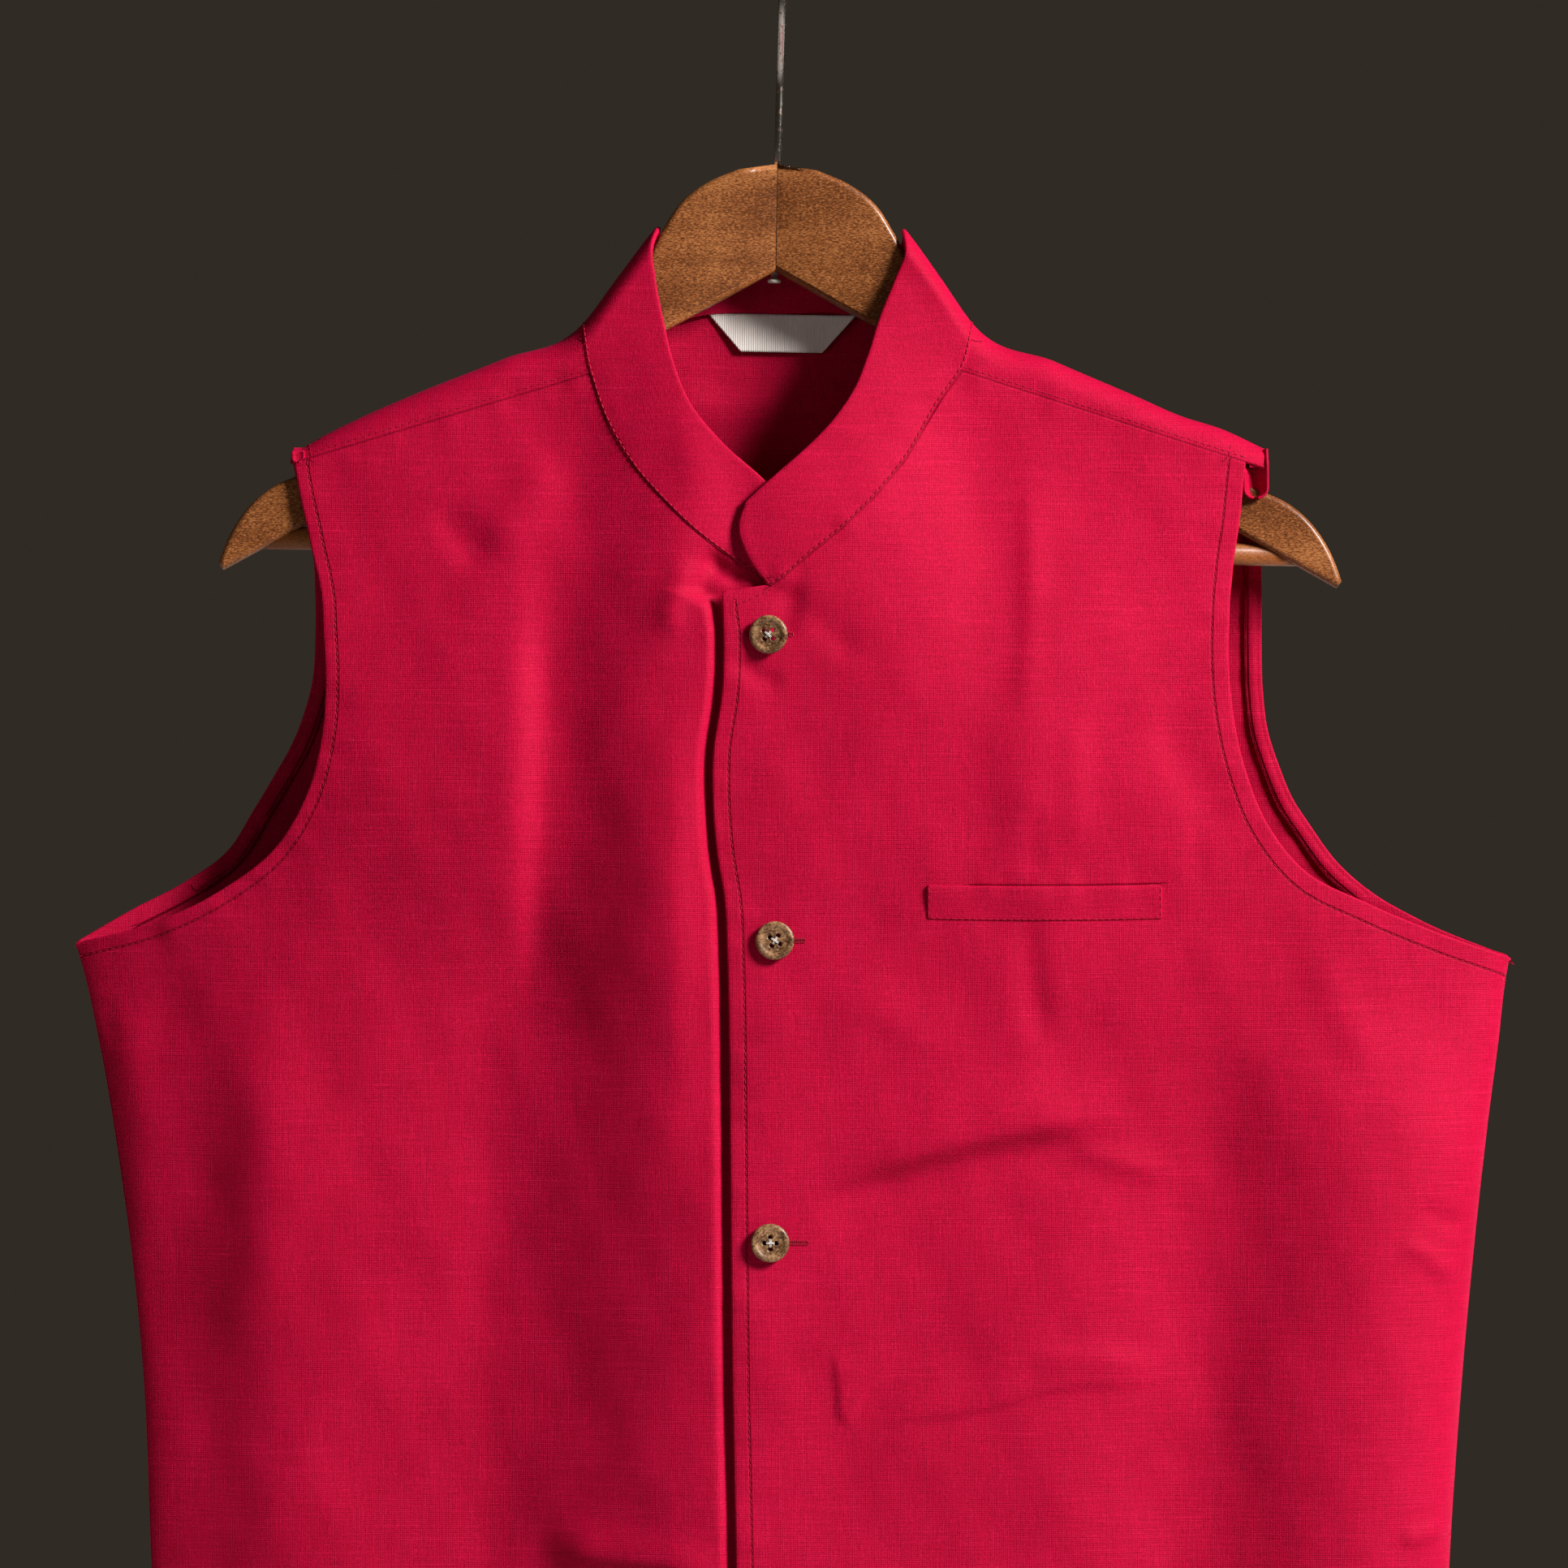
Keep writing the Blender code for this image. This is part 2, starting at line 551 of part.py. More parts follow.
def build_welt(collection):
    """Makes the chest pocket's welt."""
    across = np.linspace(-0.5, 0.5, WELT_COLUMNS)
    points = []
    for up in (-0.5, 0.0, 0.5):
        x = WELT_X + WELT_LENGTH * across
        z = WELT_Z + WELT_HEIGHT * up + 0.0 * x
        points.append(on_front(x, z, SEAM_GAP + WALL))
    sheet("chest_welt", np.array(points), collection, False)


def build_label(collection):
    """Makes the bare woven label below the back neck seam, inside."""
    points = []
    for down in (0.0, 0.5, 1.0):
        width = LABEL_TOP_WIDTH + (LABEL_LOW_WIDTH - LABEL_TOP_WIDTH) * down
        x = LABEL_X + width * np.linspace(-0.5, 0.5, LABEL_COLUMNS)
        z = LABEL_TOP_Z - LABEL_HEIGHT * down + 0.0 * x
        points.append(on_back(x, z, -WALL - SEAM_GAP))
    sheet("neck_label", np.array(points), collection, False, TRIM_WALL, LABEL_COLOUR)


def cylinder_mesh(name, radius, length, sides, spots=((0.0, 0.0),)):
    """Makes cylinders along z at the given x, y spots."""
    mesh = bpy.data.meshes.new(name)
    built = bmesh.new()
    for x, y in spots:
        bmesh.ops.create_cone(
            built, cap_ends=True, segments=sides, radius1=radius, radius2=radius, depth=length,
            matrix=Matrix.Translation((x, y, 0.0)),
        )
    built.to_mesh(mesh)
    built.free()
    return mesh


def add_cutter(name, mesh, collection, placing):
    """Puts a cutter where it cuts, out of sight."""
    made = add_object(name, mesh, collection)
    made.matrix_world = placing
    made.hide_render = True
    made.display_type = "WIRE"
    return made


def cut(target, cutter, name):
    """Takes a cutter's shape out of a piece."""
    made = target.modifiers.new(name, "BOOLEAN")
    made.object = cutter
    made.operation = "DIFFERENCE"


def build_button(number, row, collection, cutters):
    """Makes one four-hole button lying on the upper front, turned and tilted as it hangs."""
    x, z, turn, tilt_x, tilt_z = row
    half = BUTTON_THICKNESS / 2.0
    profile = []
    for inwards, height, sunk in BUTTON_SECTION:
        radius = 0.0 if inwards is None else BUTTON_RADIUS - inwards * BUTTON_RIM
        profile.append((radius, 0.0, half * height - (BUTTON_DISH if sunk else 0.0)))
    mesh = bpy.data.meshes.new(f"button_{number}")
    mesh.from_pydata(profile, [(i, i + 1) for i in range(len(profile) - 1)], [])
    made = add_object(f"button_{number}", mesh, collection, BUTTON_COLOUR, 0.5)
    turned = made.modifiers.new("Turn", "SCREW")
    turned.steps = BUTTON_STEPS
    turned.render_steps = BUTTON_STEPS
    turned.use_merge_vertices = True
    turned.merge_threshold = WELD
    reach = SLOPE_REACH
    slope_x = float(depth(-1, x + reach, z) - depth(-1, x - reach, z)) / (2.0 * reach)
    slope_z = float(depth(-1, x, z + reach) - depth(-1, x, z - reach)) / (2.0 * reach)
    outwards = Vector((-slope_x, -1.0, -slope_z)).normalized()
    seat = Vector((x, -float(depth(-1, x, z)), z))
    lean = math.hypot(math.sin(math.radians(tilt_x)), math.sin(math.radians(tilt_z)))
    centre = seat + outwards * (half + BUTTON_LIFT + (BUTTON_RADIUS - BUTTON_RIM) * lean)
    facing = outwards.to_track_quat("Z", "X").to_matrix().to_4x4()
    lay = Matrix.Rotation(math.radians(tilt_z), 4, "Z") @ Matrix.Rotation(math.radians(tilt_x), 4, "X")
    spin = Matrix.Rotation(math.radians(turn), 4, "Z")
    placing = Matrix.Translation(centre) @ lay @ facing @ spin
    made.matrix_world = placing
    pitch = HOLE_PITCH / 2.0
    spots = [(sx * pitch, sy * pitch) for sx in (-1, 1) for sy in (-1, 1)]
    holes = cylinder_mesh(f"button_{number}_holes", HOLE_RADIUS, 4.0 * BUTTON_THICKNESS, HOLE_SIDES, spots)
    cut(made, add_cutter(f"button_{number}_holes", holes, cutters, placing), "Holes")


def hanger_frame():
    """Gives the placing of the hanger's own frame: x along the arms, y down, z towards the back."""
    lie = Matrix.Rotation(math.radians(-90.0), 4, "X")
    return Matrix.Translation((WOOD_X, 0.0, WOOD_Z)) @ Matrix.Rotation(WOOD_TILT, 4, "Y") @ lie


def bar_placing():
    """Gives the placing of the bar's middle, with its axis along the bar."""
    along_arms = Matrix.Rotation(math.radians(90.0), 4, "Y")
    middle = BAR_REACH * (RIGHT_REACH - 1.0) / 2.0
    return hanger_frame() @ Matrix.Translation((middle, BAR_DOWN, 0.0)) @ along_arms


def hook_lean():
    """Gives the shank's sideways step for each unit of height."""
    return WOOD_X / WOOD_Z


def shank_placing():
    """Gives the placing of the shank's middle inside the wood."""
    middle_z = WOOD_Z - ARM_MIDDLE_HEIGHT / 2.0
    lean = Matrix.Rotation(math.atan(hook_lean()), 4, "Y")
    return Matrix.Translation((middle_z * hook_lean(), 0.0, middle_z)) @ lean


def build_arm(name, side, reach, collection, cutters):
    """Makes half of the wooden hanger from its flat outline, bored for the shank and the bar."""
    gap = SEAM_GAP / 2.0
    outline = [(gap, 0.0)] + [(out * reach, down) for out, down in ARM_TOP] + [(gap, ARM_MIDDLE_HEIGHT)]
    flat = bpy.data.curves.new(name + "_outline", "CURVE")
    flat.dimensions = "2D"
    flat.fill_mode = "BOTH"
    flat.extrude = WOOD_HALF_THICKNESS
    line = flat.splines.new("POLY")
    line.points.add(len(outline) - 1)
    for point, (out, down) in zip(line.points, outline):
        point.co = (side * out, down, 0.0, 1.0)
    line.use_cyclic_u = True
    made = as_mesh(add_object(name + "_outline", flat, collection), name)
    made.matrix_world = hanger_frame()
    made.data.materials.append(material(name + "_material", WOOD_COLOUR, 0.35))
    rounding = made.modifiers.new("Rounding", "BEVEL")
    rounding.width = WOOD_ROUNDING
    rounding.segments = 2
    rounding.limit_method = "ANGLE"
    rounding.angle_limit = math.radians(60.0)
    bore = cylinder_mesh(name + "_shank_bore", WIRE_RADIUS + SEAM_GAP, 3.0 * ARM_MIDDLE_HEIGHT, BORE_SIDES)
    cut(made, add_cutter(name + "_shank_bore", bore, cutters, shank_placing()), "Shank bore")
    length = BAR_REACH * (1.0 + RIGHT_REACH) + 2.0 * SEAM_GAP
    socket = cylinder_mesh(name + "_bar_socket", BAR_RADIUS + SEAM_GAP, length, BAR_SIDES)
    cut(made, add_cutter(name + "_bar_socket", socket, cutters, bar_placing()), "Bar socket")


def as_mesh(curve, name):
    """Turns a curve object into a welded mesh object of the given name."""
    evaluated = curve.evaluated_get(bpy.context.evaluated_depsgraph_get())
    mesh = bpy.data.meshes.new_from_object(evaluated)
    mesh.name = name
    welded = bmesh.new()
    welded.from_mesh(mesh)
    bmesh.ops.remove_doubles(welded, verts=welded.verts, dist=WELD)
    bmesh.ops.recalc_face_normals(welded, faces=welded.faces)
    welded.to_mesh(mesh)
    welded.free()
    made = bpy.data.objects.new(name, mesh)
    made.matrix_world = curve.matrix_world
    curve.users_collection[0].objects.link(made)
    bpy.data.objects.remove(curve, do_unlink=True)
    return made


def build_bar(collection):
    """Makes the bar that joins the ends of the arms."""
    length = BAR_REACH * (1.0 + RIGHT_REACH)
    mesh = cylinder_mesh("hanger_bar", BAR_RADIUS, length, BAR_SIDES)
    mesh.shade_smooth()
    made = add_object("hanger_bar", mesh, collection, WOOD_COLOUR, 0.35)
    made.matrix_world = bar_placing()


def hook_path():
    """Gives the wire's middle line from the shank's low end, up and round to the tip."""
    middle_radius = HOOK_INSIDE_RADIUS + WIRE_RADIUS
    loop = []
    for step in range(HOOK_STEPS + 1):
        angle = HOOK_START_ANGLE + (HOOK_TIP_ANGLE - HOOK_START_ANGLE) * step / HOOK_STEPS
        loop.append((middle_radius * math.cos(angle), middle_radius * math.sin(angle) - HOOK_INSIDE_RADIUS))
    start = np.array((0.0, HOOK_NECK_Z))
    end = np.array(loop[0])
    before = np.array((0.0, HOOK_NECK_Z + NECK_HANDLE))
    heading = np.array(loop[1]) - end
    after = end - heading / np.linalg.norm(heading) * NECK_HANDLE
    bend = []
    for t in np.linspace(0.0, 1.0, NECK_STEPS + 1)[:-1]:
        low = start * (1 - t) ** 3 + before * 3 * t * (1 - t) ** 2
        high = after * 3 * t * t * (1 - t) + end * t**3
        bend.append(tuple(low + high))
    path = [(0.0, SHANK_END_Z)] + bend + loop
    return [(z * hook_lean(), y, z) for y, z in path]


def build_hook(collection):
    """Makes the wire hook with the headed end of its shank below the wood."""
    wire = bpy.data.curves.new("hanger_hook_wire", "CURVE")
    wire.dimensions = "3D"
    wire.bevel_depth = WIRE_RADIUS
    wire.bevel_resolution = 3
    wire.use_fill_caps = True
    points = hook_path()
    line = wire.splines.new("POLY")
    line.points.add(len(points) - 1)
    for point, spot in zip(line.points, points):
        point.co = (*spot, 1.0)
    made = as_mesh(add_object("hanger_hook_wire", wire, collection), "hanger_hook")
    made.data.materials.append(material("hanger_hook_material", STEEL_COLOUR, 0.25, 1.0))
    return made


def build_shank_head(hook, cutters):
    """Joins the low head of the shank to the wire."""
    head = cylinder_mesh("shank_head", SHANK_NUT_RADIUS, SHANK_NUT_HEIGHT, BORE_SIDES)
    low = SHANK_END_Z - SHANK_NUT_HEIGHT * (SHANK_NUT_SHARE_BELOW - 0.5)
    placing = Matrix.Translation((low * hook_lean(), 0.0, low))
    join = hook.modifiers.new("Head", "BOOLEAN")
    join.object = add_cutter("shank_head", head, cutters, placing)
    join.operation = "UNION"


def main():
    """Builds the jacket and its hanger."""
    clear_scene()
    model = new_collection("nehru_jacket_on_hanger")
    cutters = new_collection("cutters")
    build_cloth(model)
    for number, row in enumerate(BUTTONS, start=1):
        build_button(number, row, model, cutters)
    build_arm("hanger_arm_left", -1.0, 1.0, model, cutters)
    build_arm("hanger_arm_right", 1.0, RIGHT_REACH, model, cutters)
    build_bar(model)
    build_shank_head(build_hook(model), cutters)


main()
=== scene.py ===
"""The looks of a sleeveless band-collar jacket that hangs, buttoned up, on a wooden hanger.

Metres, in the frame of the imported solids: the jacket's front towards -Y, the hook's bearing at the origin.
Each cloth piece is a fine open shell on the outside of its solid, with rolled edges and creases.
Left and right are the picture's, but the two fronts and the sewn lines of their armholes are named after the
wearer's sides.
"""

import math

import bmesh
import bpy
import numpy as np
from mathutils import Matrix, Vector


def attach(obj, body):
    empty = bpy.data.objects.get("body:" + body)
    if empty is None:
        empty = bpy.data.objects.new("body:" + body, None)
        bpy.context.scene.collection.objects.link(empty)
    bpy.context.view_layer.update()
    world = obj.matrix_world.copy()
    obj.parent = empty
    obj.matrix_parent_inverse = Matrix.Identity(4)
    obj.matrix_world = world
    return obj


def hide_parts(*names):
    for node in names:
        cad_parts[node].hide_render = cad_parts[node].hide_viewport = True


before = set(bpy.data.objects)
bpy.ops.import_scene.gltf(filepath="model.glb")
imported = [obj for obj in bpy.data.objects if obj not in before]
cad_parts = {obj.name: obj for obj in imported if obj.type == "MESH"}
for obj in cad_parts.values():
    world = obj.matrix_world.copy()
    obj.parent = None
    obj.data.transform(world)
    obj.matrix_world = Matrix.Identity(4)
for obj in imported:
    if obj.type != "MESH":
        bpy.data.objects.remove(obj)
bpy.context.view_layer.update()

# Outline of the shoulders and the collar seen from the front: x, z
RIDGE = (
    (-0.21, -0.21), (-0.192, -0.201), (-0.178, -0.193), (-0.1625, -0.1855), (-0.144, -0.1775),
    (-0.11, -0.164), (-0.079, -0.1505), (-0.065, -0.132), (-0.05, -0.1125), (-0.0025, -0.085),
    (0.0475, -0.1135), (0.061, -0.132), (0.074, -0.1505), (0.106, -0.165), (0.1375, -0.1785),
    (0.1545, -0.186), (0.1715, -0.1915), (0.1875, -0.199), (0.21, -0.209),
)
# Outline of the sides from hem to underarm, and its line above that, inside the armhole: z, x
LEFT_SIDE = (
    (-0.8605, -0.238), (-0.753, -0.243), (-0.636, -0.2475), (-0.55, -0.2515), (-0.474, -0.2605),
    (-0.43, -0.268), (-0.3925, -0.277), (-0.2, -0.431), (-0.08, -0.527),
)
RIGHT_SIDE = (
    (-0.8605, 0.2535), (-0.753, 0.258), (-0.636, 0.261), (-0.5625, 0.266), (-0.4675, 0.2755),
    (-0.4325, 0.28), (-0.3985, 0.2845), (-0.2, 0.443), (-0.08, 0.539),
)
HEM_Z = -0.8605
LEFT_UNDERARM_Z = -0.3925
RIGHT_UNDERARM_Z = -0.3985
# Edge of the front that lies on top, from hem to collar point: z, x
PLACKET_EDGE = (
    (-0.8605, -0.017), (-0.753, -0.018), (-0.636, -0.0185), (-0.5625, -0.02), (-0.4675, -0.021),
    (-0.3985, -0.022), (-0.3755, -0.023), (-0.3565, -0.026), (-0.3375, -0.0275), (-0.3185, -0.0275),
    (-0.293, -0.024), (-0.2725, -0.0235), (-0.254, -0.0245), (-0.24, -0.0165), (-0.18, -0.0165),
)
UNDERLAP_X = 0.0125
# Sections of the wearer's right front above the underarm: inner x, z and armhole x, z
RIGHT_FRONT_ROWS = (
    (0.0125, -0.3755, -0.246, -0.3845), (0.0125, -0.3565, -0.219, -0.3715),
    (0.0125, -0.3375, -0.1985, -0.3555), (0.0125, -0.3185, -0.1865, -0.336),
    (0.0125, -0.2965, -0.1795, -0.309), (0.0125, -0.274, -0.1785, -0.287),
    (0.0125, -0.2545, -0.1795, -0.2675), (0.006, -0.2532, -0.1797, -0.2625),
    (-0.008, -0.2505, -0.18, -0.258), (-0.0185, -0.2435, -0.1815, -0.2495),
    (-0.034, -0.232, -0.184, -0.239), (-0.0465, -0.22, -0.186, -0.2295),
    (-0.058, -0.207, -0.188, -0.221), (-0.0695, -0.1875, -0.19, -0.2105),
    (-0.0752, -0.171, -0.1909, -0.2055), (-0.0755, -0.17, -0.191, -0.2045),
)
# Sections of the wearer's left front above the underarm: inner x, z and armhole x, z
LEFT_FRONT_ROWS = (
    (-0.023, -0.3755, 0.254, -0.388), (-0.026, -0.3565, 0.2265, -0.3765),
    (-0.0275, -0.3375, 0.203, -0.3645), (-0.0275, -0.3185, 0.1885, -0.347),
    (-0.024, -0.293, 0.178, -0.32), (-0.0235, -0.2725, 0.1735, -0.293),
    (-0.0243, -0.2558, 0.173, -0.272), (-0.0055, -0.253, 0.1733, -0.266),
    (-0.001, -0.2503, 0.1735, -0.26), (0.009, -0.2415, 0.1745, -0.2495),
    (0.022, -0.231, 0.1755, -0.2405), (0.035, -0.2185, 0.177, -0.2315),
    (0.0465, -0.2045, 0.178, -0.2235), (0.0615, -0.1795, 0.179, -0.213),
    (0.0684, -0.17, 0.1799, -0.2055), (0.069, -0.169, 0.18, -0.2045),
)
# Rows of those tables where the front's top edge starts and where the neck seam starts
FRONT_CORNER = 6
FRONT_NECK_FROM = 7
# Sections of the back from the shoulder's ridge to the underarm: left x, z, right x, z and share of the
# slope
BACK_ROWS = (
    (-0.192, -0.201, 0.1875, -0.199, 1.0), (-0.192, -0.2018, 0.1875, -0.1998, 1.0),
    (-0.1915, -0.204, 0.1875, -0.202, 1.0), (-0.191, -0.2075, 0.1875, -0.2055, 1.0),
    (-0.19, -0.212, 0.1875, -0.21, 1.0), (-0.1885, -0.22, 0.1875, -0.2185, 0.97),
    (-0.184, -0.238, 0.1865, -0.239, 0.85), (-0.183, -0.255, 0.1865, -0.258, 0.7),
    (-0.183, -0.272, 0.1865, -0.2755, 0.55), (-0.184, -0.289, 0.187, -0.293, 0.4),
    (-0.1875, -0.3025, 0.189, -0.309, 0.28), (-0.1925, -0.315, 0.1935, -0.323, 0.18),
    (-0.1995, -0.3275, 0.199, -0.336, 0.1), (-0.2075, -0.341, 0.2065, -0.3475, 0.05),
    (-0.2175, -0.3565, 0.216, -0.3605, 0.0), (-0.233, -0.368, 0.2295, -0.3725, 0.0),
    (-0.2555, -0.38, 0.2485, -0.3835, 0.0),
)
# Ends of the back's neckline as shares of its width, and the row of BACK_ROWS where it turns across
NECK_SHARES = (0.298, 0.701)
NECK_ROW = 3
NECK_SEAM = (
    (-0.079, -0.157), (-0.065, -0.156), (-0.05, -0.152), (-0.03, -0.1463), (-0.0025, -0.146),
    (0.024, -0.1463), (0.043, -0.152), (0.06, -0.156), (0.074, -0.157),
)
# Ends of the forward shoulder seams: neck x, z and armhole x, z
LEFT_SHOULDER_SEAM = (-0.0755, -0.17, -0.191, -0.2045)
RIGHT_SHOULDER_SEAM = (0.069, -0.169, 0.18, -0.2045)
# Top edge of the collar from its front end to the ridge on each side, and behind the neck: x, z
COLLAR_TOP_RIGHT = (
    (-0.0085, -0.2145), (0.0055, -0.203), (0.0185, -0.19), (0.0275, -0.177), (0.033, -0.1635),
    (0.038, -0.148), (0.0435, -0.1345), (0.048, -0.1215), (0.0475, -0.1135),
)
COLLAR_TOP_LEFT = (
    (0.006, -0.2265), (-0.0085, -0.212), (-0.024, -0.198), (-0.0375, -0.181), (-0.044, -0.1645),
    (-0.0475, -0.15), (-0.051, -0.1315), (-0.052, -0.119), (-0.05, -0.1125),
)
COLLAR_TOP_BACK = (
    (0.0475, -0.1135), (0.048, -0.116), (0.047, -0.1185), (0.038, -0.1175), (0.03, -0.113),
    (-0.0025, -0.11), (-0.0335, -0.1125), (-0.041, -0.117), (-0.0495, -0.1178), (-0.0505, -0.115),
    (-0.05, -0.1125),
)
# Rounded front end of the collar, from the neck seam up: x, z
COLLAR_END = ((-0.0055, -0.2527), (-0.0133, -0.2415), (-0.017, -0.229), (-0.0145, -0.2205))

# The collar's band: gap to the neck seam, strips across, stations that its rounded end shifts, height
# above the jacket's surface, thickness, radius of the roll into the seam, and how far from a corner its
# seam bends
COLLAR_SEAM_GAP = 0.0004
COLLAR_STRIPS = 22
COLLAR_END_STATIONS = 14
COLLAR_RISE = 0.0004
COLLAR_THICKNESS = 0.002
COLLAR_SEAM_RADIUS = 0.0008
NECK_CORNER_GAP = 0.003

# Depth of the hanging jacket, close to the solids: roll over the shoulders, full depths and how far down
# they reach
RIDGE_RADIUS = 0.011
FRONT_DEPTH = 0.034
BACK_DEPTH = 0.022
FRONT_FLARE = 0.18
BACK_FLARE = 0.2
# Powers of the rounding towards the side seams, depth that stays at a seam, and a stretch that closes the
# seams
LEFT_SIDE_POWER = 0.8
RIGHT_SIDE_POWER = 0.42
SIDE_FOLD = 0.0015
SIDE_CLOSE = 1.006
# How deep the front that lies below sinks behind the other's edge and over which width, and the same near
# the neck
UNDERLAP_DROP = 0.0055
UNDERLAP_RUN = 0.0065
UNDERLAP_NECK_DROP = 0.0034
UNDERLAP_NECK_RUN = 0.026
UNDERLAP_NECK_Z = -0.262
UNDERLAP_NECK_FADE = 0.01
# Large folds: length over which their ends fade, and power and share of width over which they ease out at
# the sides
FOLD_FADE = 0.11
FOLD_HOLD = 0.35
FOLD_EASE = 0.35
BELOW_HEM = HEM_Z - 0.12
# Large folds: face (-1 front, +1 back), x at the top, x at the hem, top z, low z, half widths to the left
# and right of the picture, height outwards
FOLDS = (
    (-1, -0.085, -0.118, -0.215, -0.46, 0.014, 0.026, -0.0065),
    (-1, -0.115, -0.121, -0.33, BELOW_HEM, 0.1, 0.054, -0.0145),
    (-1, -0.0447, -0.043, -0.26, -0.5, 0.024, 0.012, 0.0045),
    (-1, -0.02, -0.02, -0.4, BELOW_HEM, 0.045, 0.03, 0.004),
    (-1, -0.196, -0.196, -0.37, BELOW_HEM, 0.03, 0.06, 0.008),
    (-1, 0.164, 0.162, -0.39, BELOW_HEM, 0.032, 0.027, -0.007),
    (-1, 0.24, 0.235, -0.39, BELOW_HEM, 0.045, 0.04, 0.012),
    (-1, 0.095, 0.099, -0.23, -0.47, 0.015, 0.015, 0.002),
    (1, -0.108, -0.115, -0.27, BELOW_HEM, 0.026, 0.026, -0.0055),
    (1, 0.015, 0.005, -0.3, BELOW_HEM, 0.03, 0.03, 0.004),
    (1, 0.124, 0.13, -0.29, BELOW_HEM, 0.024, 0.024, -0.005),
)
